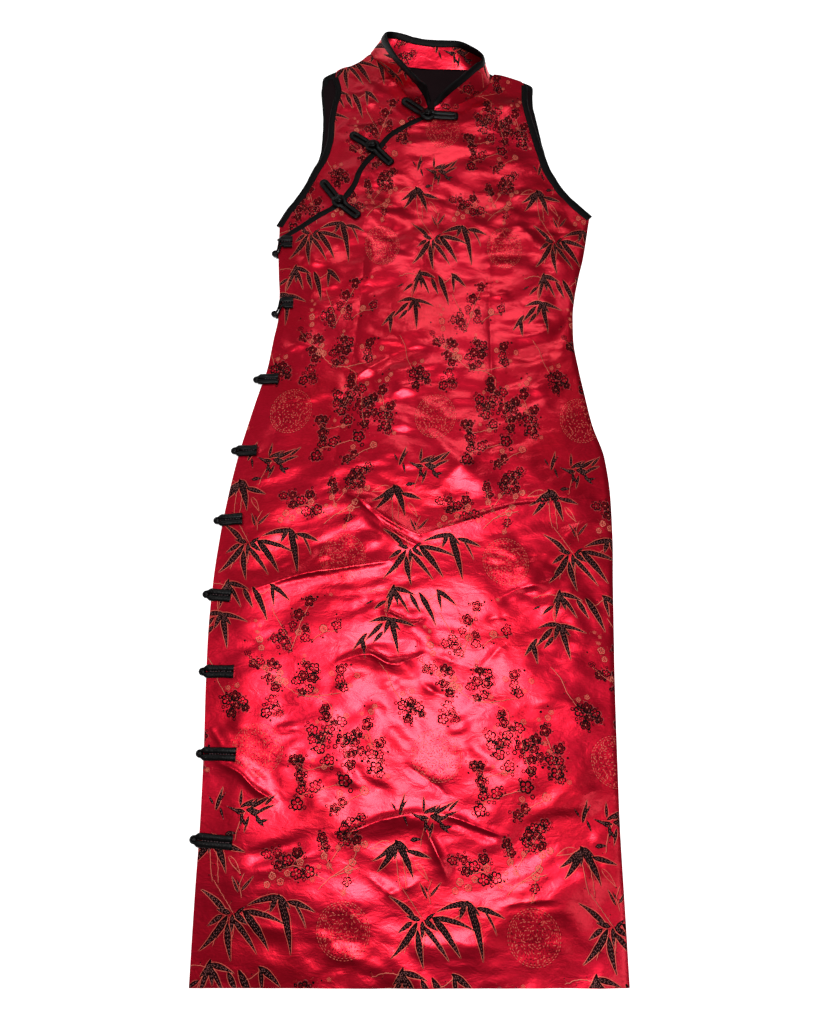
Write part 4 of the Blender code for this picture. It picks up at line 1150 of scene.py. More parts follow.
# ----------------------------------------------------------- woven pattern
# One repeat of the brocade, in fabric millimetres from the round medallion's
# column and the other medallion's row.
# Leaves: where a leaf starts, its direction in degrees, its length, width
# and bend, and kind 0 for a filled leaf or 1 for one drawn in outline.
LEAVES = table("u v turn length width bend kind", [
    (-24, 6, -129, 37, 6.8, 0.10, 0), (-26, 10, -144, 16, 4.2, 0.00, 0), (-20, 375, -80, 29, 6.3, -0.05, 0),
    (-13, 4, -50, 36, 5.2, 0.06, 0), (-3, 11, -52, 40, 7.4, 0.08, 0), (-2, 13, -14, 41, 5.2, 0.12, 0),
    (-26, 15, 143, 29, 5.2, -0.10, 0), (30, 26, -75, 51, 7.9, 0.08, 0), (29, 27, -166, 32, 5.8, -0.12, 0),
    (42, 23, -17, 25, 5.2, 0.10, 0), (47, 19, -61, 21, 2.3, 0.10, 0), (-36, 343, -106, 30, 5.8, 0.00, 0),
    (-33, 342, -15, 23, 5.2, 0.10, 0), (-32, 337, -59, 24, 4.2, 0.05, 0), (-15, 333, -62, 17, 4.2, 0.00, 0),
    (-5, 335, -66, 36, 6.8, 0.08, 0), (-45, 329, -141, 16, 3.2, -0.10, 0), (-59, 329, -153, 10, 2.1, 0.00, 0),
    (16, 340, -38, 24, 5.8, 0.10, 0), (15, 338, -84, 19, 4.2, 0.00, 0), (-43, 308, -170, 23, 5.2, -0.15, 0),
    (-42, 307, -12, 31, 4.7, 0.12, 0), (-40, 304, -81, 34, 6.3, 0.04, 0), (-53, 301, -136, 24, 5.2, 0.00, 0),
    (-50, 295, -133, 18, 5.2, 0.00, 0), (-71, 289, -131, 21, 4.7, 0.00, 0), (-73, 284, -85, 17, 4.2, 0.00, 0),
    (-44, 79, -124, 31, 7.4, 0.10, 0), (-47, 78, -143, 24, 5.2, 0.10, 0), (-41, 80, -63, 36, 7.9, 0.10, 0),
    (-27, 73, -14, 21, 5.2, 0.05, 0), (-28, 84, 7, 11, 4.2, 0.10, 0), (-23, 64, -51, 21, 4.7, 0.05, 1),
    (-47, 81, -163, 22, 6.3, -0.10, 1), (-14, 110, 31, 16, 3.2, 0.00, 0), (0, 112, 31, 18, 3.2, 0.00, 0),
    (-13, 103, 145, 11, 3.2, 0.00, 0), (-2, 104, 19, 13, 3.7, 0.00, 0), (2, 101, -42, 12, 4.2, 0.00, 0),
    (6, 97, 13, 9, 3.2, 0.00, 0), (-5, 102, -103, 15, 2.6, 0.00, 0), (-12, 100, -56, 9, 3.2, 0.00, 0),
    (-14, 112, 90, 14, 2.6, 0.00, 0), (11, 113, 46, 15, 2.6, 0.00, 0), (6, 108, 20, 15, 2.6, 0.00, 0),
    (-17, 106, 157, 11, 2.6, 0.00, 0), (-10, 112, 15, 13, 3.7, 0.00, 0), (-8, 108, -6, 14, 4.7, 0.00, 0),
    (-38, 111, 76, 17, 2.9, 0.00, 0), (-37, 114, 55, 11, 2.1, 0.00, 0), (-42, 112, 125, 9, 2.3, 0.00, 0),
    (-35, 109, -68, 11, 2.7, 0.00, 0), (-11, 31, 117, 15, 2.1, 0.00, 0), (-8, 33, 50, 16, 2.3, 0.00, 0),
    (-10, 37, 122, 7, 1.7, 0.00, 0), (-6, 35, 54, 7, 1.7, 0.00, 0),
    (-16, 11, -92, 17, 5.4, 0.05, 0), (-14, 12, -34, 15, 5.0, 0.00, 0), (-18, 12, 168, 13, 4.6, 0.00, 0),
    (-13, 10, 41, 12, 3.4, 0.10, 0), (28, 29, -41, 16, 4.6, 0.05, 0), (27, 29, -112, 15, 4.8, 0.00, 0),
    (-43, 82, -92, 17, 5.2, 0.05, 0), (-41, 83, -35, 13, 4.4, 0.00, 0), (-34, 342, -82, 16, 5.0, 0.00, 0),
    (-34, 343, -133, 14, 4.4, 0.05, 0), (-42, 308, -114, 16, 4.8, 0.00, 0), (-41, 308, -46, 14, 4.4, 0.00, 0),
    (-9, 106, 172, 13, 3.4, 0.00, 0),
    (-5, 107, -30, 12, 3.4, 0.00, 0), (-3, 109, 58, 12, 2.8, 0.05, 0), (-12, 105, -92, 12, 3.2, 0.00, 0),
])

# Blossoms: place, size, and kind 0 for a black one, 1 for a copper one, 2 for a bud.
BLOSSOMS = table("u v size kind", [
    (57, 326, 9, 0), (48, 329, 3, 2), (66, 331, 4, 2), (74, 333, 3, 2), (81, 334, 4, 1), (45, 311, 9, 0), (38, 299, 8, 0),
    (52, 295, 8, 0), (52, 285, 9, 0), (44, 291, 6, 1), (37, 317, 3, 2), (18, 284, 8, 0), (27, 290, 7, 0), (28, 281, 9, 0),
    (33, 275, 7, 0), (-3, 302, 4, 1), (2, 297, 4, 1), (1, 282, 8, 1), (3, 273, 6, 1), (-12, 267, 5, 0), (-15, 280, 3, 2),
    (-1, 290, 4, 1), (72, 296, 8, 1), (87, 300, 9, 0), (87, 312, 4, 2), (71, 286, 4, 2), (-6, 256, 8, 0), (2, 258, 7, 0),
    (8, 252, 6, 1), (14, 257, 8, 0), (20, 254, 7, 0), (23, 247, 7, 1), (12, 241, 9, 0), (22, 239, 9, 1), (18, 232, 9, 0),
    (28, 238, 7, 1), (23, 267, 3, 2), (43, 257, 4, 2), (50, 266, 4, 1), (49, 261, 4, 1), (52, 256, 7, 0), (60, 253, 9, 0),
    (48, 245, 9, 0), (40, 239, 8, 0), (58, 243, 9, 0), (41, 248, 4, 2), (46, 227, 8, 0), (54, 231, 8, 0), (61, 229, 5, 1),
    (15, 218, 9, 0), (19, 210, 8, 0), (22, 204, 7, 0), (8, 204, 9, 0), (89, 253, 9, 0), (88, 242, 8, 0), (91, 233, 9, 0),
    (-87, 258, 5, 2), (79, 248, 6, 1), (-81, 247, 7, 1), (-89, 236, 5, 1), (-34, 217, 9, 0), (-25, 221, 9, 0), (-17, 215, 9, 0),
    (-14, 209, 8, 0), (-24, 211, 8, 0), (-29, 203, 9, 0), (-33, 229, 5, 1), (-23, 232, 5, 1), (-75, 215, 4, 2), (-68, 209, 6, 1),
    (-64, 215, 5, 1), (-67, 221, 3, 2), (-78, 207, 4, 1), (71, 212, 8, 0), (72, 203, 9, 0), (80, 197, 6, 0), (88, 198, 9, 0),
    (75, 190, 8, 0), (57, 188, 9, 0), (57, 179, 8, 0), (66, 181, 9, 0), (73, 183, 7, 0), (65, 170, 9, 0), (89, 179, 10, 0),
    (-90, 183, 9, 0), (-83, 187, 8, 0), (-86, 177, 8, 0), (-73, 196, 9, 0), (-89, 166, 9, 0), (-80, 169, 7, 0), (-90, 155, 9, 0),
    (-78, 159, 5, 2), (-68, 166, 9, 0), (-59, 178, 9, 0), (-60, 166, 7, 0), (-57, 159, 6, 0), (-63, 153, 9, 0), (-59, 147, 7, 0),
    (75, 159, 9, 0), (70, 152, 6, 1), (58, 158, 4, 1), (62, 197, 4, 1), (93, 204, 6, 1), (-74, 183, 5, 1), (-70, 175, 5, 1),
    (38, 158, 9, 0), (45, 159, 7, 0), (44, 150, 6, 0), (45, 142, 9, 0), (48, 135, 6, 0), (47, 129, 8, 0), (48, 122, 4, 1),
    (61, 132, 9, 0), (66, 139, 4, 2), (92, 139, 10, 0), (87, 127, 7, 1), (-75, 130, 8, 1), (-51, 145, 5, 1), (-53, 156, 3, 2),
    (-51, 169, 4, 2), (44, 115, 9, 0), (82, 112, 9, 0), (90, 118, 8, 0), (-78, 105, 8, 0), (-82, 99, 8, 0), (-89, 100, 8, 0),
    (-86, 92, 7, 0), (93, 93, 8, 0), (91, 86, 8, 0), (-92, 81, 7, 0), (-82, 83, 9, 0), (-82, 75, 6, 1), (-74, 79, 6, 1),
    (87, 75, 5, 1), (70, 84, 8, 0), (74, 76, 8, 0), (73, 67, 7, 1), (78, 58, 5, 1), (-86, 62, 7, 1), (-90, 55, 8, 1),
    (-91, 44, 8, 0), (93, 34, 5, 1), (46, 69, 9, 0), (37, 62, 9, 0), (29, 57, 9, 0), (26, 68, 8, 0), (15, 67, 7, 0),
    (46, 50, 9, 0), (58, 52, 9, 0), (37, 50, 7, 1), (22, 47, 7, 1), (17, 39, 6, 1), (30, 42, 6, 1), (49, 61, 7, 1),
    (62, 45, 5, 1), (68, 57, 5, 1),
])

STEMS = [
    [(57, 322), (50, 309), (45, 298), (40, 282), (34, 269)], [(87, 294), (72, 292), (58, 282)],
    [(-12, 264), (3, 251), (18, 243), (34, 229), (45, 224)], [(88, 228), (72, 225), (55, 223), (45, 224)],
    [(-58, 263), (-49, 251), (-44, 236), (-36, 222)], [(45, 224), (64, 222), (77, 214), (76, 197)],
    [(76, 197), (68, 179), (61, 163)], [(88, 193), (92, 169), (99, 150)], [(-73, 192), (-67, 175), (-61, 151)],
    [(38, 156), (50, 148), (64, 151), (81, 154)], [(46, 124), (59, 127), (77, 133), (92, 136)],
    [(82, 109), (98, 121), (112, 127)], [(-79, 102), (-89, 88), (-99, 75), (-108, 62)],
    [(-82, 78), (-84, 66), (-93, 57), (-108, 47), (-120, 36)], [(80, 47), (94, 53), (109, 57)],
    [(70, 82), (75, 65), (83, 53)], [(29, 54), (44, 57), (59, 52), (75, 45)], [(-90, 53), (-92, 40), (-96, 30)],
    [(14, 318), (24, 300), (36, 281)], [(-43, 75), (-41, 58), (-38, 40)], [(-37, 75), (-34, 59), (-32, 39)],
    [(-37, 340), (-52, 342), (-66, 337)], [(-15, 12), (-26, 27), (-37, 42)], [(-17, 9), (-14, -4), (-19, -18)],
    [(-8, 108), (-14, 95), (-18, 78)], [(-8, 26), (-10, 39), (-6, 49)], [(-45, 309), (-46, 322), (-39, 338)],
    [(30, 26), (17, 15), (-1, 11)], [(16, 340), (1, 331), (-7, 335)], [(-16, 8), (-4, -6), (2, -14)],
    [(-20, 6), (-30, -6), (-34, -18)],
]

SUNK = -0.07        # rims of the woven figures end just under the cloth's face
threads = {"black": [], "copper": [], "rose": [], "wine_and_shadow": []}
plain_threads = {"black": [], "copper": [], "rose": [], "wine_and_shadow": []}


def grid_faces(n, m):
    """Triangles of a grid of n rows by m columns of vertices."""
    i, j = np.meshgrid(np.arange(n - 1), np.arange(m - 1), indexing="ij")
    a = (i * m + j).ravel()
    return np.concatenate([np.stack([a, a + 1, a + m + 1], 1), np.stack([a, a + m + 1, a + m], 1)])


def ribbon(points, width, lift=0.14, taper=True):
    """A thin raised line of thread along fabric points."""
    p = np.asarray(points, float)
    t = np.gradient(p, axis=0)
    t /= np.sqrt((t ** 2).sum(1))[:, None] + 1e-9
    side = np.stack([-t[:, 1], t[:, 0]], 1)
    w = np.full(len(p), width / 2.0)
    if taper:
        w[0] *= 0.35
        w[-1] *= 0.35
    left, right = p + side * w[:, None], p - side * w[:, None]
    out = np.zeros((len(p), 3, 3))
    out[:, 0, :2], out[:, 1, :2], out[:, 2, :2] = right, p, left
    out[:, :, 2] = (SUNK, lift, SUNK)
    return out.reshape(-1, 3), grid_faces(len(p), 3)


def leaf_form(length, width, bend, n):
    t = np.linspace(0, 1, n + 1)
    half = 0.53 * width * np.sin(math.pi * np.clip(t, 0.012, 0.995) ** 0.70) ** 0.92 * (1.06 - 0.32 * t)
    half *= 1.0 + 0.05 * np.sin(t * length * 1.9)
    sway = bend * length * 2.0 * t * (1 - t)
    return t, half, sway


def set_down(pts, u, v, turn):
    c, s = math.cos(math.radians(turn)), math.sin(math.radians(turn))
    out = pts.copy()
    out[:, 0] = u + c * pts[:, 0] - s * pts[:, 1]
    out[:, 1] = v + s * pts[:, 0] + c * pts[:, 1]
    return out


def add_leaf(u, v, turn, length, width, bend, kind):
    if length <= 18 and width <= 5 and kind == 0:
        length, width = 1.12 * length, 1.30 * width
    if length > 18 and kind == 0:
        # the leaves of a spray start close together, over one another
        root = 4.8
        u, v = u - root * math.cos(math.radians(turn)), v - root * math.sin(math.radians(turn))
        length, width = length + root, 1.07 * width
    n = max(int(length / 2.6), 4)
    t, half, sway = leaf_form(length, width, bend, n)
    outline_width = 0.78 if length > 18 else 0.55
    if kind == 0:
        body = np.zeros((n + 1, 5, 3))
        for k, (share, lift) in enumerate(((-1.0, SUNK), (-0.55, 0.24), (0.0, 0.17), (0.55, 0.24), (1.0, SUNK))):
            body[:, k, 0], body[:, k, 1], body[:, k, 2] = t * length, sway + share * half, lift
        threads["black"].append((set_down(body.reshape(-1, 3), u, v, turn), grid_faces(n + 1, 5)))
        plain = body[:, (0, 2, 4)]
        plain_threads["black"].append((set_down(plain.reshape(-1, 3), u, v, turn), grid_faces(n + 1, 3)))
        rows_of = (-0.46, 0.0, 0.46) if width > 4.5 else (0.0,)
        for r in rows_of:
            at = 0.12 * length + (1.6 if r else 0.0)
            while at < (0.72 if r else 0.88) * length:
                w = np.interp((at / length), t, half)
                if w * (1 - abs(r)) > 0.55 or r == 0.0:
                    a0 = np.array([[at, np.interp(at / length, t, sway) + r * w],
                                   [at + 1.5, np.interp((at + 1.5) / length, t, sway) + r * w]])
                    q, f = ribbon(a0, 0.40 if r else 0.50, 0.36, False)
                    q[:, 2] = np.where(q[:, 2] > 0, 0.36, 0.24)
                    threads["rose"].append((set_down(q, u, v, turn), f))
                at += 4.2 if r else 3.0
        if length > 14:
            for share in (-1.0, 1.0):
                path = np.stack([t * length, sway + share * (half + 0.35)], 1)
                q, f = ribbon(path, outline_width, 0.10)
                threads["copper"].append((set_down(q, u, v, turn), f))
                # On large leaves a thin dark red line runs just outside the copper outline: painted shadow.
                if width > 6:
                    path = np.stack([t * length, sway + share * (half + 1.1)], 1)[1:-1]
                    q, f = ribbon(path, 0.45, 0.08)
                    threads["wine_and_shadow"].append((set_down(q, u, v, turn), f))
    else:
        for share in (-1.0, 1.0):
            path = np.stack([t * length, sway + share * half], 1)
            for lot in (threads, plain_threads):
                q, f = ribbon(path, 0.95, 0.14)
                lot["copper"].append((set_down(q, u, v, turn), f))
        for k in range(1, n, 2):
            path = np.array([[t[k] * length, sway[k] - 0.6 * half[k]], [t[k] * length + 1.6, sway[k] + 0.6 * half[k]]])
            q, f = ribbon(path, 0.6, 0.12)
            threads["copper"].append((set_down(q, u, v, turn), f))


def ring_form(cu, cv, outer, inner, shift, n, lift):
    """A raised ring whose hole sits off its middle."""
    a = np.linspace(0, 2 * math.pi, n, endpoint=False)
    out = np.zeros((3, n, 3))
    for k, (r, s, z) in enumerate(((outer, 0.0, SUNK), (0.5 * (outer + inner), 0.5, lift), (inner, 1.0, SUNK))):
        out[k, :, 0] = cu + shift[0] * s + r * np.cos(a)
        out[k, :, 1] = cv + shift[1] * s + r * np.sin(a)
        out[k, :, 2] = z
    faces = []
    for k in range(2):
        for i in range(n):
            j = (i + 1) % n
            p, q, r, s = k * n + i, k * n + j, (k + 1) * n + j, (k + 1) * n + i
            faces += [(p, q, r), (p, r, s)]
    return out.reshape(-1, 3), np.array(faces)


def dot_form(cu, cv, radius, n, lift):
    a = np.linspace(0, 2 * math.pi, n, endpoint=False)
    pts = np.zeros((n + 1, 3))
    pts[0] = (cu, cv, lift)
    pts[1:, 0], pts[1:, 1], pts[1:, 2] = cu + radius * np.cos(a), cv + radius * np.sin(a), SUNK
    return pts, np.array([(0, 1 + i, 1 + (i + 1) % n) for i in range(n)])


blossom_rng = np.random.default_rng(19)


def add_blossom(u, v, size, kind):
    turn = blossom_rng.uniform(0, 2 * math.pi)
    lean = blossom_rng.uniform(0.78, 1.05)
    radius = size / 2.0 * (1.36 if kind == 0 else 1.08) * blossom_rng.uniform(0.90, 1.14)
    name = "copper" if kind == 1 else "black"
    if kind == 2:
        for lot in (threads, plain_threads):
            lot["black"].append(dot_form(u, v, radius * 0.8, 7, 0.22))
        return
    filled, edged = blossom_rng.uniform() < 0.45, blossom_rng.uniform() < 0.8
    for k in range(5):
        a = turn + 2 * math.pi * k / 5 + blossom_rng.normal(0, 0.10)
        far = 0.60 * radius * blossom_rng.uniform(0.88, 1.14)
        cu, cv = u + far * math.cos(a), v + far * lean * math.sin(a)
        petal = 0.49 * radius * blossom_rng.uniform(0.84, 1.12)
        shift = (-0.24 * petal * math.cos(a), -0.24 * petal * math.sin(a))
        hole = 0.50
        if size >= 6:
            threads[name].append(ring_form(cu, cv, petal, petal * hole, shift, 7, 0.24))
            if kind == 0 and filled:
                threads["wine_and_shadow"].append(dot_form(cu + shift[0], cv + shift[1], petal * 0.72, 6, 0.13))
            if kind == 0 and edged:
                arc = np.array([(cu + (petal + 0.45) * math.cos(a + s), cv + (petal + 0.45) * math.sin(a + s))
                                for s in (-0.9, -0.3, 0.3, 0.9)])
                threads["rose"].append(ribbon(arc, 0.62, 0.16))
            plain_threads[name].append(dot_form(cu, cv, petal * 0.9, 6, 0.22))
        else:
            threads[name].append(ring_form(cu, cv, petal * 1.1, petal * 0.55, (0.0, 0.0), 5, 0.20))
            plain_threads[name].append(dot_form(cu, cv, petal * 0.8, 5, 0.20))
    if size >= 6:
        threads["copper" if kind == 0 else "black"].append(dot_form(u, v, 0.20 * radius, 5, 0.26))
        for k in range(5):
            a = turn + 2 * math.pi * (k + 0.5) / 5
            q, f = ribbon(np.array([(u + 0.62 * radius * math.cos(a), v + 0.62 * radius * math.sin(a)),
                                    (u + 1.22 * radius * math.cos(a), v + 1.22 * radius * math.sin(a))]), 0.50, 0.14)
            threads["copper"].append((q, f))
    # The thin dark red ring round each copper blossom is painted shadow.
    if kind == 1 and size >= 5:
        threads["wine_and_shadow"].append(ring_form(u, v, 1.12 * radius, 0.96 * radius, (0.0, 0.0), 12, 0.10))
    if kind == 0 and size >= 7:
        # half-open flowers and petals crowd between the blossoms
        for k in range(4):
            a = blossom_rng.uniform(0, 2 * math.pi)
            r = radius * blossom_rng.uniform(1.10, 1.50)
            cu, cv = u + r * math.cos(a), v + r * math.sin(a)
            small = radius * blossom_rng.uniform(0.20, 0.42)
            if k < 3:
                threads["black"].append(ring_form(cu, cv, small, small * 0.42, (0.15, 0.1), 6, 0.22))
            else:
                threads["black"].append(dot_form(cu, cv, small * 0.7, 6, 0.20))


def add_medallion(u, v, radius, seed):
    """A round scroll of short copper strokes, closed by a dashed ring."""
    rng = np.random.default_rng(seed)
    for ring_radius, count, width in ((radius, 46, 1.0), (radius - 2.0, 40, 0.75)):
        for k in range(count):
            a = 2 * math.pi * (k + rng.uniform(-0.1, 0.1)) / count
            span = 0.62 * 2 * math.pi / count
            arc = np.array([(u + ring_radius * math.cos(a + span * s), v + ring_radius * math.sin(a + span * s))
                            for s in (-0.5, 0.0, 0.5)])
            for lot in (threads, plain_threads) if ring_radius == radius else (threads,):
                lot["copper"].append(ribbon(arc, width, 0.13))
            # Every other dash of the rings gets a dark red arc just outside it, which is painted shadow.
            if k % 2:
                shade = np.array([u, v]) + (arc - (u, v)) * (1.0 + 1.3 / ring_radius)
                threads["wine_and_shadow"].append(ribbon(shade, 0.9, 0.11))
    r = 2.2
    while r < radius - 3.6:
        count = max(int(2 * math.pi * r / 3.3), 4)
        for k in range(count):
            a = 2 * math.pi * (k + rng.uniform(-0.25, 0.25)) / count + r
            rr = r + rng.uniform(-0.5, 0.5)
            swirl = a + math.pi / 2 + 0.9 * math.sin(3 * a + r / 3.4) + 0.5 * math.sin(r * 0.9)
            size = rng.uniform(1.5, 3.2)
            if rng.uniform() < 0.06:
                continue
            mid = np.array([u + rr * math.cos(a), v + rr * math.sin(a)])
            way = np.array([math.cos(swirl), math.sin(swirl)])
            bow = np.array([-way[1], way[0]]) * rng.uniform(-0.5, 0.5)
            stroke = np.array([mid - way * size / 2, mid + bow, mid + way * size / 2])
            q, f = ribbon(stroke, rng.uniform(0.85, 1.25), 0.15)
            threads["wine_and_shadow" if rng.uniform() < 0.56 else "copper"].append((q, f))
            if k % 3 == 0:
                plain_threads["copper"].append((q, f))
        r += 2.0


for i in range(len(LEAVES["u"])):
    add_leaf(*[float(LEAVES[c][i]) for c in ("u", "v", "turn", "length", "width", "bend")], int(LEAVES["kind"][i]))
for i in range(len(BLOSSOMS["u"])):
    add_blossom(*[float(BLOSSOMS[c][i]) for c in ("u", "v", "size")], int(BLOSSOMS["kind"][i]))
stem_rng = np.random.default_rng(29)
for stem in STEMS:
    line = resample(np.array(stem, float), 2.6)
    line = line + stem_rng.normal(0.0, 0.22, line.shape)
    for lot in (threads, plain_threads):
        lot["copper"].append(ribbon(line, 0.95, 0.16))
    # A thin dark red line, shifted a little to one side of each stem, is its painted shadow.
    threads["wine_and_shadow"].append(ribbon(line + (0.75, -0.35), 0.6, 0.10))
    for k in range(3, len(line) - 1, 4):
        way = line[k] - line[k - 1]
        way = way / (np.hypot(*way) + 1e-9)
        out = np.array([-way[1], way[0]]) * (1 if (k // 4) % 2 else -1)
        twig = np.array([line[k], line[k] + (way * 0.6 + out) * stem_rng.uniform(2.0, 4.2)])
        threads["copper"].append(ribbon(twig, 0.55, 0.13))
        threads["black"].append(dot_form(twig[1][0], twig[1][1], stem_rng.uniform(0.6, 1.1), 6, 0.20))
# Copper flecks between the blossoms.
for i in range(len(BLOSSOMS["u"])):
    for _ in range(3):
        a, r = stem_rng.uniform(0, 2 * math.pi), stem_rng.uniform(0.7, 1.5) * BLOSSOMS["size"][i]
        at = np.array([BLOSSOMS["u"][i] + r * math.cos(a), BLOSSOMS["v"][i] + r * math.sin(a)])
        b = stem_rng.uniform(0, math.pi)
        way = np.array([math.cos(b), math.sin(b)]) * stem_rng.uniform(0.5, 1.1)
        threads["copper"].append(ribbon(np.array([at - way, at + way]), 0.5, 0.12))
add_medallion(0.0, 166.6, 26.0, 3)
add_medallion(93.75, 0.0, 26.0, 4)


def gather(parts):
    verts, faces, at = [], [], 0
    for v, f in parts:
        verts.append(v)
        faces.append(f + at)
        at += len(v)
    return np.concatenate(verts), np.concatenate(faces)


cell = {k: gather(p) for k, p in threads.items()}
plain_cell = {k: gather(p) for k, p in plain_threads.items() if p}
MATERIAL_OF = {"black": BLACK_THREAD, "copper": COPPER_THREAD, "rose": ROSE_THREAD, "wine_and_shadow": WINE_AND_SHADOW_THREAD}


def spread(cell_mesh, keep):
    """The repeat laid over the cloth: every copy whose middle may show."""
    verts, faces = cell_mesh
    out_v, out_f, at = [], [], 0
    for i in range(-3, 4):
        for j in range(-1, 4):
            shift = np.array([i * REPEAT_U, j * REPEAT_V, 0.0])
            if keep(shift[0], shift[1] + REPEAT_V / 2):
                out_v.append(verts + shift)
                out_f.append(faces + at)
                at += len(verts)
    return np.concatenate(out_v), np.concatenate(out_f)


def compact(verts, faces):
    used = np.zeros(len(verts), bool)
    used[faces.ravel()] = True
    index = np.cumsum(used) - 1
    return verts[used], index[faces], used


def lay(name, cell_mesh, outline, z_of, material, offset=(0.0, 0.0), mirror=False):
    """Woven figures on a panel, cut off at its edges."""
    verts, faces = spread(cell_mesh, lambda u, v: True)
    x, h = from_fabric(verts[:, 0] + offset[0], verts[:, 1] + offset[1])
    if mirror:
        x = -x
    o = np.asarray(outline, float)
    lo, hi = o.min(0), o.max(0)
    low_part = h < 870
    lim_l, lim_r = left_side(h) + 0.5, right_side(h) - 0.5
    x = np.where(low_part, np.clip(x, lim_l, lim_r), x)
    h = np.maximum(h, 0.5)
    ok = (x > lo[0]) & (x < hi[0]) & (h < hi[1]) & (h > lo[1])
    test = np.nonzero(ok & (h > 800))[0]
    ok[test] = inside(o, x[test], h[test])
    faces = faces[ok[faces].all(1)]
    if mirror:
        faces = faces[:, ::-1]
    a = np.stack([x, h], 1)
    p, q, r = a[faces[:, 0]], a[faces[:, 1]], a[faces[:, 2]]
    area = (q[:, 0] - p[:, 0]) * (r[:, 1] - p[:, 1]) - (q[:, 1] - p[:, 1]) * (r[:, 0] - p[:, 0])
    faces = faces[np.abs(area) > 0.01]
    verts, faces, used = compact(verts, faces)
    x, h = x[used], h[used]
    place = np.column_stack([x, h, z_of(x, h, verts[:, 2])])
    uv = verts[:, :2] * 0.001
    obj = new_mesh(name, place, faces, material, uv)
    return obj


woven_front, woven_under = [], []
for k in ("black", "copper", "rose", "wine_and_shadow"):
    obj = lay("front_threads_" + k, cell[k], front_edge, lambda x, h, l: front_z(x, h) + l, MATERIAL_OF[k])
    woven_front.append(obj)
    obj = lay("underlap_threads_" + k, cell[k], under_outline, lambda x, h, l: underlap_z(x, h) + l, MATERIAL_OF[k],
              offset=(52.0, -118.0))
    woven_under.append(obj)
woven_back = [lay("back_threads_" + k, plain_cell[k], back_edge, lambda x, h, l: back_low_z(x, h) - l, MATERIAL_OF[k],
                  mirror=True) for k in ("black", "copper")]


# ----------------------------------------------------------------- bindings
def tape(name, edge, turn, start, shoulder, side, middle_z, half_height, seed, nodes, which=0, half=4.1):
    """A rounded bias binding that wraps an edge, a little uneven along it."""
    if callable(half):
        half = half(edge[:, 1])
    centre = snap_side(inset(edge, half - 0.1, turn, start, shoulder), side, which)
    n = len(centre)
    half = np.broadcast_to(np.asarray(half, float), (n,))
    t = np.gradient(centre, axis=0)
    t /= np.sqrt((t ** 2).sum(1))[:, None]
    flat = np.stack([-t[:, 1], t[:, 0]], 1) * turn
    rng = np.random.default_rng(seed)
    s = np.arange(n) * 3.0
    wave = sum(rng.uniform(0.4, 1.0) * np.sin(2 * math.pi * s / rng.uniform(lo, hi) + rng.uniform(0, 6.3))
               for lo, hi in ((14, 22), (24, 40), (50, 90)))
    z = middle_z(centre[:, 0], centre[:, 1])
    a = centre + flat * half[:, None]
    b = centre - flat * half[:, None]
    tilt = (middle_z(a[:, 0], a[:, 1]) - middle_z(b[:, 0], b[:, 1])) / (2 * half)
    tilt = np.clip(tilt, -0.3, 0.3)
    across = np.column_stack([flat, tilt])
    across /= np.sqrt((across ** 2).sum(1))[:, None]
    along = np.column_stack([t, np.gradient(z) / 3.0])
    up = np.cross(along, across) * turn
    up /= np.sqrt((up ** 2).sum(1))[:, None]
    line = np.column_stack([centre, z + 0.05 * wave])
    v, f, u = sweep(name, line, across, up, half + 0.10 * wave, half_height * (1 + 0.05 * wave), None, 16, 2.7)
    obj = joined(name, [(v, f, u)], BINDING_SATIN, sharp=60)
    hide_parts(*nodes)
    return obj


def small_front_mid(x, h):
    return underlap_z(x, h) - 0.5


def large_front_mid(x, h):
    return front_z(x, h) - 0.5


def back_edge_mid(x, h):
    return back_low(x, h) + 1.0 + 1.1 * smoothstep(1085, 1108, h)


def over_shoulder(edge, points):
    """An armhole's back edge carried round the shoulder's tip to the front binding."""
    return resample(np.concatenate([edge[::2], np.array(points, float)]), 3.0)


arm_lb_long = over_shoulder(arm_lb[:-3], [(-121.6, 1109.0), (-117.0, 1113.6), (-110.5, 1117.2), (-103.0, 1121.6)])
arm_rb_long = over_shoulder(arm_rb[:-2], [(168.0, 1094.0), (164.5, 1097.8), (158.5, 1100.6), (152.0, 1103.0)])


bind_open = tape("opening_trim", open_line, +1, None, DOWN, left_side, large_front_mid, 1.25, 1, ["opening_binding"], -1)
bind_lf = tape("armhole_trim_left_front", arm_lf, -1, DOWN, IN_LEFT_SHOULDER, left_side, small_front_mid, 1.25, 2,
               ["armhole_binding_left_front"], 0, lambda h: 4.2 + 0.6 * (1 - smoothstep(960, 1040, h)))
bind_rf = tape("armhole_trim_right_front", arm_rf, +1, DOWN, IN_RIGHT_SHOULDER, right_side, large_front_mid, 1.25, 3,
               ["armhole_binding_right_front"], 0, lambda h: 4.3 + 1.2 * (1 - smoothstep(960, 1050, h)))
bind_lb = tape("armhole_trim_left_back", arm_lb_long, -1, DOWN, None, left_side, back_edge_mid, 0.95, 4,
               ["armhole_binding_left_back"])
bind_rb = tape("armhole_trim_right_back", arm_rb_long, +1, DOWN, None, right_side, back_edge_mid, 0.95, 5,
               ["armhole_binding_right_back"])


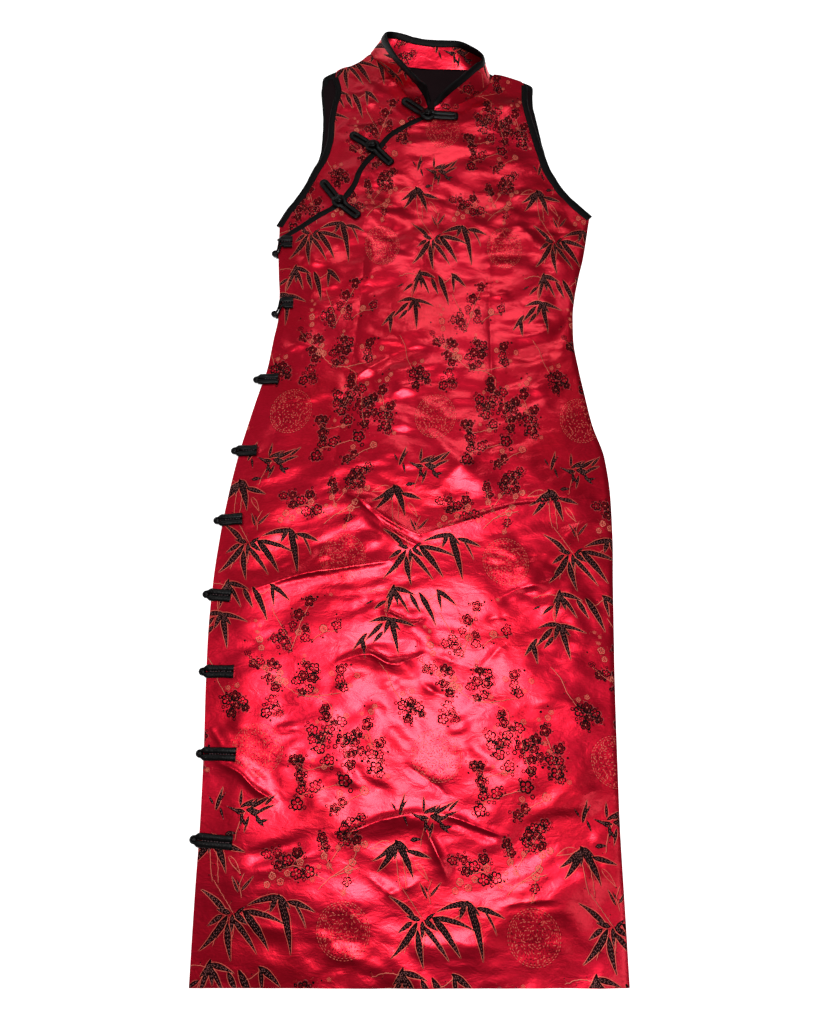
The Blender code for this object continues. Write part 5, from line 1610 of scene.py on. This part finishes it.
# ------------------------------------------------------------------- collar
collar_seam = np.stack([COLLAR["seam_x"], COLLAR["seam_h"], COLLAR["seam_z"]], 1)
collar_top = np.stack([COLLAR["top_x"], COLLAR["top_h"], COLLAR["top_z"]], 1)
collar_both = resample(np.concatenate([collar_seam, collar_top], 1), 3.0)
c_seam, c_top = collar_both[:, :3], collar_both[:, 3:]
c_height = np.sqrt(((c_top - c_seam) ** 2).sum(1))
c_way = (c_top - c_seam) / c_height[:, None]
c_run = np.concatenate([[0.0], np.cumsum(np.sqrt(((c_seam[1:] - c_seam[:-1]) ** 2).sum(1)))])
C_ROWS = 13


def collar_wave(s, t):
    """Slight buckles of the stiffened band."""
    return (0.30 * np.sin(s / 17.0 + 1.2 * np.sin(s / 41.0)) * np.sin(math.pi * np.clip(t, 0, 1))
            + 0.16 * np.sin(s / 6.3 + t * 2.5 + 0.8 * np.sin(s / 13.0)) * np.clip(1.2 - t, 0, 1))


c_share = np.linspace(0.0, 1.0, C_ROWS)
c_reach = (c_height - COLLAR_BINDING + 1.2) / c_height
c_grid = c_seam[:, None, :] + (c_top - c_seam)[:, None, :] * (c_share[None, :, None] * c_reach[:, None, None])
c_nrm = np.cross(np.gradient(c_grid, axis=0), np.gradient(c_grid, axis=1))
c_nrm /= np.sqrt((c_nrm ** 2).sum(2))[:, :, None]
c_grid = c_grid + c_nrm * collar_wave(c_run[:, None], c_share[None, :])[:, :, None]
C_WALL = 1.6


def collar_place(s, t, out, lift):
    """A point of the collar's face: s along it, t up it in mm, out is +1 inside."""
    i = np.clip(np.searchsorted(c_run, s) - 1, 0, len(c_run) - 2)
    a = np.clip((s - c_run[i]) / (c_run[i + 1] - c_run[i]), 0, 1)
    reach = (c_reach * c_height)
    r = reach[i] * (1 - a) + reach[i + 1] * a
    q = np.clip(t / r, 0, 1) * (C_ROWS - 1)
    j = np.clip(q.astype(int), 0, C_ROWS - 2)
    b = (q - j)[:, None]
    a = a[:, None]

    def mix(g):
        return ((g[i, j] * (1 - a) + g[i + 1, j] * a) * (1 - b) + (g[i, j + 1] * (1 - a) + g[i + 1, j + 1] * a) * b)

    n = mix(c_nrm)
    n /= np.sqrt((n ** 2).sum(1))[:, None]
    return mix(c_grid) + n * (out * (C_WALL / 2 + lift))[:, None], r


def collar_mesh():
    n, m = c_grid.shape[:2]
    outer, inner = c_grid + c_nrm * C_WALL / 2, c_grid - c_nrm * C_WALL / 2
    verts = np.concatenate([outer.reshape(-1, 3), inner.reshape(-1, 3)])
    s = np.repeat(c_run, m)
    t = (c_share[None, :] * (c_reach * c_height)[:, None]).ravel()
    uv = np.concatenate([np.stack([s, t], 1), np.stack([s, t], 1)]) * 0.001
    faces, half = [], n * m
    for i in range(n - 1):
        for j in range(m - 1):
            a, b, c, d = i * m + j, (i + 1) * m + j, (i + 1) * m + j + 1, i * m + j + 1
            faces += [(a, b, c, d), (a + half, d + half, c + half, b + half)]
        for j, flip in ((0, False), (m - 1, True)):
            a, b = i * m + j, (i + 1) * m + j
            quad = (a, a + half, b + half, b)
            faces.append(quad[::-1] if flip else quad)
    for j in range(m - 1):
        for i, flip in ((0, True), (n - 1, False)):
            a, b = i * m + j, i * m + j + 1
            quad = (a, a + half, b + half, b)
            faces.append(quad[::-1] if flip else quad)
    return verts, faces, uv


collar = joined("collar_cloth", [collar_mesh()], SATIN, sharp=50)
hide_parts("collar")

cb_middle = c_top - c_way * (COLLAR_BINDING / 2 + 0.3)
cb_along = np.gradient(cb_middle, axis=0)
cb_up = np.cross(cb_along, c_way)
cb_up /= np.sqrt((cb_up ** 2).sum(1))[:, None]
cb_wave = 0.12 * np.sin(c_run / 4.1 + np.sin(c_run / 9.0)) + 0.10 * np.sin(c_run / 11.0)
# The binding is fuller on the left front, where it laps over the neck's lining.
cb_full = smoothstep(6.0, 34.0, c_run) * (1.0 - smoothstep(96.0, 150.0, c_run))
cb_middle = cb_middle + c_way * (1.7 * cb_full)[:, None]
v, f, u = sweep("", cb_middle, c_way, cb_up, 4.9 + cb_wave + 1.7 * cb_full, 1.7, None, 16, 2.6)
collar_trim = joined("collar_trim", [(v, f, u)], BINDING_SATIN, sharp=60)
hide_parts("collar_binding")


def collar_threads(name, cell_mesh, offset, material, out):
    """The repeat on one face of the collar."""
    verts, faces = spread(cell_mesh, lambda u, v: True)
    s, t = verts[:, 0] + offset[0], verts[:, 1] + offset[1]
    ok = (s > 1.5) & (s < c_run[-1] - 1.5) & (t > 0.8) & (t < 60)
    faces = faces[ok[faces].all(1)]
    verts, faces, used = compact(verts, faces)
    s, t = s[used], t[used]
    place, reach = collar_place(s, t, np.full(len(s), float(out)), verts[:, 2])
    ok = t < reach - 0.6
    faces = faces[ok[faces].all(1)]
    if out < 0:
        faces = faces[:, ::-1]
    _, faces, used = compact(verts, faces)
    return new_mesh(name, place[used], faces, material, np.stack([s, t], 1)[used] * 0.001)


for k in ("black", "copper", "rose"):
    collar_threads("collar_threads_%s_out" % k, cell[k], (118.0, -298.0), MATERIAL_OF[k], -1)
    collar_threads("collar_threads_%s_in" % k, cell[k], (262.0, -86.0), MATERIAL_OF[k], +1)


# -------------------------------------------------------------------- frogs
def laid_surface(x, h):
    """The highest cloth or binding under a cord."""
    x, h = np.asarray(x, float), np.asarray(h, float)
    big = inside(front_edge, x, h)
    d = line_distance(open_line, x, h)[0]
    over = inside(np.concatenate([open_line, [(-169.0, 700.0), (200.0, 700.0), (200.0, 1040.0)]]), x, h)
    z = np.where(big | over, front_z(x, h), underlap_z(x, h))
    return z + np.where(over & (d < 7.6), 0.72, 0.0)


def smoothed(z, n=5):
    pad = np.concatenate([np.full(n, z[0]), z, np.full(n, z[-1])])
    return np.convolve(pad, np.ones(2 * n + 1) / (2 * n + 1), "valid")


def cord(path_xh, z, half_width, half_height, sides=12, twist=0.0):
    """A flattened cord along a path with its own heights."""
    p = np.column_stack([path_xh, z])
    t = np.gradient(p, axis=0)
    t /= np.sqrt((t ** 2).sum(1))[:, None] + 1e-12
    up = np.tile([0.0, 0.0, 1.0], (len(p), 1))
    across = np.cross(t, up)
    across /= np.sqrt((across ** 2).sum(1))[:, None] + 1e-12
    up = np.cross(across, t)
    return sweep("", p, across, up, half_width, half_height, None, sides, 2.2)


def knot_ball(centre, radius, seed, flat=1.0):
    """A button knot: turns of cord wound about a core."""
    rng = np.random.default_rng(seed)
    parts = []
    cord_r = 0.34 * radius
    ring = radius - cord_r
    core = []
    c = np.asarray(centre, float)
    a = np.linspace(0, math.pi, 9)
    pts = np.stack([np.zeros(9), np.zeros(9), np.cos(a) * (ring - 0.15)], 1)
    sizes = np.maximum(np.sin(a) * (ring - 0.1), 0.05)
    v, f, u = sweep("", pts[::-1], np.tile([1.0, 0, 0], (9, 1)), np.tile([0, 1.0, 0], (9, 1)), sizes, sizes, None, 14, 2.0)
    v = v * (1, 1, flat) + c
    parts.append((v, f, u))
    spin = rng.uniform(0, math.pi)
    for k in range(5):
        tilt = math.radians((90, 62, 62, 62, 24)[k])
        turn = spin + (0.0, 0.3, 0.3 + 2.1, 0.3 + 4.2, 1.0)[k]
        n = 26
        b = np.linspace(0, 2 * math.pi, n + 1)
        circle = np.stack([np.cos(b), np.sin(b), np.zeros(n + 1)], 1) * ring
        circle *= (1 + 0.03 * np.sin(3 * b + k))[:, None]
        ct, st = math.cos(tilt), math.sin(tilt)
        rx = np.array([[1, 0, 0], [0, ct, -st], [0, st, ct]])
        cz, sz = math.cos(turn), math.sin(turn)
        rz = np.array([[cz, -sz, 0], [sz, cz, 0], [0, 0, 1]])
        m = rz @ rx
        p = circle @ m.T
        axis = m @ np.array([0, 0, 1.0])
        out = p / np.sqrt((p ** 2).sum(1))[:, None]
        across = np.tile(axis, (n + 1, 1))
        v, f, u = sweep("", p, across, out, cord_r, cord_r, None, 9, 2.0)
        parts.append((v * (1, 1, flat) + c, f, u))
    return parts


def dashes(path, size=0.34, long=1.5, pitch=3.1, seed=0):
    """Small stitches along a path of points in mm."""
    rng = np.random.default_rng(seed)
    p = np.asarray(path, float)
    run = np.concatenate([[0.0], np.cumsum(np.sqrt(((p[1:] - p[:-1]) ** 2).sum(1)))])
    parts, s = [], 1.0
    while s < run[-1] - 1.0:
        a, b = s, min(s + long * rng.uniform(0.75, 1.15), run[-1])
        ends = np.array([[np.interp(w, run, p[:, k]) for k in range(3)] for w in (a, (a + b) / 2, b)])
        ends[:, :2] += rng.normal(0, 0.12, 2)
        ends[0, 2] -= 0.25
        ends[2, 2] -= 0.25
        parts.append(tube(ends, size, 0.8, 6))
        s += pitch * rng.uniform(0.9, 1.1)
    return parts


def frog_arm(foot, knot, knot_z, radius, half, loop):
    """One half of a frog: the cord doubled from the foot, and for the loop half
    carried round the knot."""
    foot, knot = np.asarray(foot, float), np.asarray(knot, float)
    way = (foot - knot) / np.hypot(*(foot - knot))
    side = np.array([-way[1], way[0]])
    length = float(np.hypot(*(foot - knot)))
    off = half + 0.12
    ring = radius + 0.8 * half
    bend = off * 0.96
    side_a, side_b = [], []
    near = ring * math.cos(math.asin(min(off / ring, 0.95))) if loop else 1.5
    for s in np.arange(length - off * 0.5, near, -1.6):
        side_a.append(knot + way * s + side * off)
        side_b.append(knot + way * s - side * off)
    turn_foot = [knot + way * (length - off * 0.5) + way * (bend * math.sin(a)) + side * (off * math.cos(a))
                 for a in np.linspace(0, math.pi, 7)]
    if loop:
        join = math.asin(min(off / ring, 0.95))
        arc = [knot + ring * (math.cos(a) * way + math.sin(a) * side)
               for a in np.linspace(join, 2 * math.pi - join, 22)]
        pts = side_a + arc + side_b[::-1]
    else:
        pts = side_a[::-1] + turn_foot[1:-1] + side_b
    return np.array(pts)


frog_objects = []


def heights_for(path, half_height, knot, knot_z, reach=2.2):
    z = highest((laid_surface,), path[:, 0], path[:, 1], reach) + half_height * 0.92
    z = smoothed(z, 3)
    d = np.hypot(path[:, 0] - knot[0], path[:, 1] - knot[1])
    near = 1 - smoothstep(3.0, 12.0, d)
    return np.maximum(z, (1 - near) * z + near * (knot_z - 0.8))


stitch_parts = []
for i in range(3):
    knot = (float(FROGS["knot_x"][i]), float(FROGS["knot_h"][i]))
    base = float(highest((laid_surface,), np.array([knot[0]]), np.array([knot[1]]), 4.0)[0])
    knot_z = base + KNOT_RADIUS * 0.8 + 0.5
    half, tall = (3.45, 3.1, 3.1)[i], 1.85
    for kind, foot, nodes in (("loop", (FROGS["loop_x"][i], FROGS["loop_h"][i]), ["frog_%d_loop" % (i + 1)]),
                              ("knot", (FROGS["tail_x"][i], FROGS["tail_h"][i]), ["frog_%d_knot" % (i + 1)])):
        path = frog_arm(foot, knot, knot_z, KNOT_RADIUS - 0.6, half, kind == "loop")
        z = heights_for(path, tall, knot, knot_z - (1.0 if kind == "loop" else 0.0))
        parts = [cord(path, z, half, tall)]
        if kind == "loop":
            end = np.array(foot, float)
            way = (end - knot) / np.hypot(*(end - knot))
            side = np.array([-way[1], way[0]])
            cap = np.array([end + side * ((half + 0.3) * math.copysign(abs(math.cos(a)) ** 0.6, math.cos(a))) + way * (1.2 * math.sin(a) - 1.4)
                            for a in np.linspace(0, math.pi, 11)])
            zc = highest((laid_surface,), cap[:, 0], cap[:, 1], 2.2) + tall * 0.9
            parts.append(cord(cap, zc, half * 0.98, tall * 0.97))
        else:
            parts += knot_ball((knot[0], knot[1], knot_z), KNOT_RADIUS, 40 + i, 0.84)
        obj = joined("frog_%d_%s_cord" % (i + 1, kind), parts, CORD_SATIN, sharp=60)
        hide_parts(*nodes)
        frog_objects.append(obj)


def side_surface(x, h):
    xx = np.maximum(x, left_side(h) + 0.3)
    return laid_surface(xx, h)


for i in range(9):
    h = float(SIDE_FROGS["knot_h"][i])
    knot = np.array([float(left_side(h)) - SIDE_FROGS["out"][i] + 1.0, h])
    foot = np.array([SIDE_FROGS["loop_x"][i], SIDE_FROGS["loop_h"][i]], float)
    rng = np.random.default_rng(70 + i)
    ring, thin, wide = 3.1, 1.25, 3.55
    tall = 1.7
    if i < 2:
        # the two highest bars sit above their knots, which hang out below them
        level = h + 15.5
        inner = float(left_side(level)) + 18.0
        outer = float(left_side(level)) + 1.5
        wide = 4.1
        upper = [(inner - 1.65 * k, level + wide + 0.1) for k in range(10)]
        link_a = [(outer - 0.2, level + 1.0), (outer - 1.2, level - 4.5), (knot[0] + 3.4, h + 5.0)]
        arc = [tuple(knot + ring * np.array([math.cos(w), math.sin(w)])) for w in np.linspace(0.9, 5.6, 16)]
        link_b = [(knot[0] + 5.2, h + 0.5), (outer + 1.6, level - 6.0)]
        lower = [(inner - 1.65 * k, level - wide - 0.1) for k in range(9)][::-1]
        path = np.array(upper + link_a + arc + link_b + lower)
        size = np.concatenate([np.full(9, wide), [2.8, 1.6, 1.2, 1.1], np.full(16, thin), [1.1, 1.5, 2.8], np.full(8, wide)])
        order = resample(np.column_stack([path, size]), 1.3)
        path, size = order[:, :2], order[:, 2]
        mid = np.array([(v, level) for v in np.linspace(inner - 2.0, outer + 2.0, 8)])
    else:
        way = (foot - knot) / np.hypot(*(foot - knot))
        side = np.array([-way[1], way[0]])
        length = float(np.hypot(*(foot - knot)))
        s = np.linspace(length, 0.3, int(length / 1.3))
        grow = smoothstep(0.5, 5.5, s)
        dip = 1.0 - 0.06 * np.sin(math.pi * np.clip((s - 5) / (length - 5), 0, 1))
        apart = (ring + (wide + 0.1 - ring) * grow) * dip
        half = (thin + (wide - thin) * grow) * dip
        ripple = 0.10 * np.sin(s / 2.3 + rng.uniform(0, 6)) + 0.10 * np.sin(s / 5.1 + rng.uniform(0, 6))
        a_side = np.array([knot + way * v + side * w for v, w in zip(s, apart)])
        b_side = np.array([knot + way * v - side * w for v, w in zip(s, apart)])
        arc = np.array([knot + ring * (math.cos(w) * way + math.sin(w) * side)
                        for w in np.linspace(math.pi / 2 + 0.15, 1.5 * math.pi - 0.15, 13)])
        path = np.concatenate([a_side, arc, b_side[::-1]])
        size = np.concatenate([half + ripple, np.full(13, thin), (half - ripple)[::-1]])
        mid = np.array([knot + way * v for v in np.linspace(length - 2.0, 8.0, 14)])
    z = highest((side_surface,), path[:, 0], path[:, 1], 3.0) + tall * 0.95
    past = smoothstep(-1.0, 6.0, left_side(path[:, 1]) - path[:, 0])
    z = smoothed(z * (1 - past) + past * np.minimum(z, 6.4), 2)
    parts = [cord(path, z, size, tall, 12)]
    obj = joined("side_frog_%d_loop_cord" % (i + 1), parts, CORD_SATIN, sharp=60)
    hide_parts("side_frog_%d_loop" % (i + 1))
    frog_objects.append(obj)
    zm = smoothed(highest((side_surface,), mid[:, 0], mid[:, 1], 3.0), 2) + tall * 1.62
    stitch_parts += dashes(np.column_stack([mid, zm]), 0.40, 1.5, 3.0, 90 + i)
    # the knot with its tail, which goes under the edge to the back
    tail = [cord(np.array([knot + (v, w) for v in np.linspace(1.0, 29.5, 16)]),
                 np.full(16, 1.12), 1.75, 0.92, 10) for w in (-1.8, 1.8)]
    parts = tail + knot_ball((knot[0], knot[1], 4.6), 3.9, 60 + i)
    obj = joined("side_frog_%d_knot_cord" % (i + 1), parts, CORD_SATIN, sharp=60)
    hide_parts("side_frog_%d_knot" % (i + 1))
    frog_objects.append(obj)

# Stitches that hold the collar's foot to the front.
for line, turn, seed in ((neck_r, 1, 5), (neck_l, 1, 6)):
    foot = inset(resample(line, 2.0), 1.8, turn)
    z = front_z(foot[:, 0], foot[:, 1]) if turn and seed == 5 else underlap_z(foot[:, 0], foot[:, 1])
    stitch_parts += dashes(np.column_stack([foot, z + 0.18]), 0.32, 1.2, 2.6, seed)
stitches = joined("hand_stitches", stitch_parts, STITCH)


# --------------------------------------------------------- ground and light
floor_mesh = bpy.data.meshes.new("ground")
floor_mesh.from_pydata([(-6, -6, -0.0006), (6, -6, -0.0006), (6, 6, -0.0006), (-6, 6, -0.0006)], [], [(0, 1, 2, 3)])
floor = bpy.data.objects.new("ground", floor_mesh)
bpy.context.scene.collection.objects.link(floor)
paper = bpy.data.materials.new("ground_white")
paper.use_nodes = True
paper_shader = paper.node_tree.nodes["Principled BSDF"]
paper_shader.inputs["Base Color"].default_value = (0.95, 0.95, 0.95, 1)
paper_shader.inputs["Roughness"].default_value = 0.9
paper_shader.inputs["Specular IOR Level"].default_value = 0.1
paper_shader.inputs["Emission Color"].default_value = (1, 1, 1, 1)
paper_shader.inputs["Emission Strength"].default_value = 0.9
floor_mesh.materials.append(paper)


def lamp(name, place, aim, size, size_y, power, colour=(1, 1, 1)):
    light = bpy.data.lights.new(name, "AREA")
    light.shape = "RECTANGLE"
    light.size, light.size_y = size, size_y
    light.energy = power
    light.color = colour
    obj = bpy.data.objects.new(name, light)
    obj.location = place
    obj.rotation_euler = (Vector(aim) - Vector(place)).to_track_quat("-Z", "Y").to_euler()
    bpy.context.scene.collection.objects.link(obj)
    return obj


lamp("overhead", (0.02, -0.26, 1.75), (0.0, -0.26, 0.0), 0.58, 0.36, 13.8)
lamp("far_window", (0.20, 1.02, 1.30), (0.0, 0.20, 0.0), 0.50, 0.30, 2.2)
lamp("far_left", (-0.40, 2.0, 1.25), (0.0, 0.35, 0.0), 0.50, 0.35, 0.9)
lamp("front_fill", (0.9, -0.9, 1.3), (0.0, -0.1, 0.0), 0.5, 0.5, 1.8)
lamp("left_fill", (-1.1, 0.9, 1.3), (0.0, 0.1, 0.0), 0.5, 0.5, 2.2)

world = bpy.data.worlds.new("room")
world.use_nodes = True
sky = world.node_tree.nodes["Background"]
sky.inputs["Color"].default_value = (1.0, 1.0, 1.0, 1)
sky.inputs["Strength"].default_value = 0.07
bpy.context.scene.world = world
bpy.context.scene.view_settings.view_transform = "Standard"
bpy.context.scene.view_settings.look = "None"

lens = bpy.data.cameras.new("camera")
lens.lens = 27.0
lens.sensor_width = 36.0
lens.sensor_fit = "AUTO"
lens.clip_start = 0.01
camera = bpy.data.objects.new("camera", lens)
camera.location = (-0.00075, -0.35723, 0.844)
camera.rotation_euler = (math.radians(16.95), 0.0, 0.0)
bpy.context.scene.collection.objects.link(camera)
bpy.context.scene.camera = camera
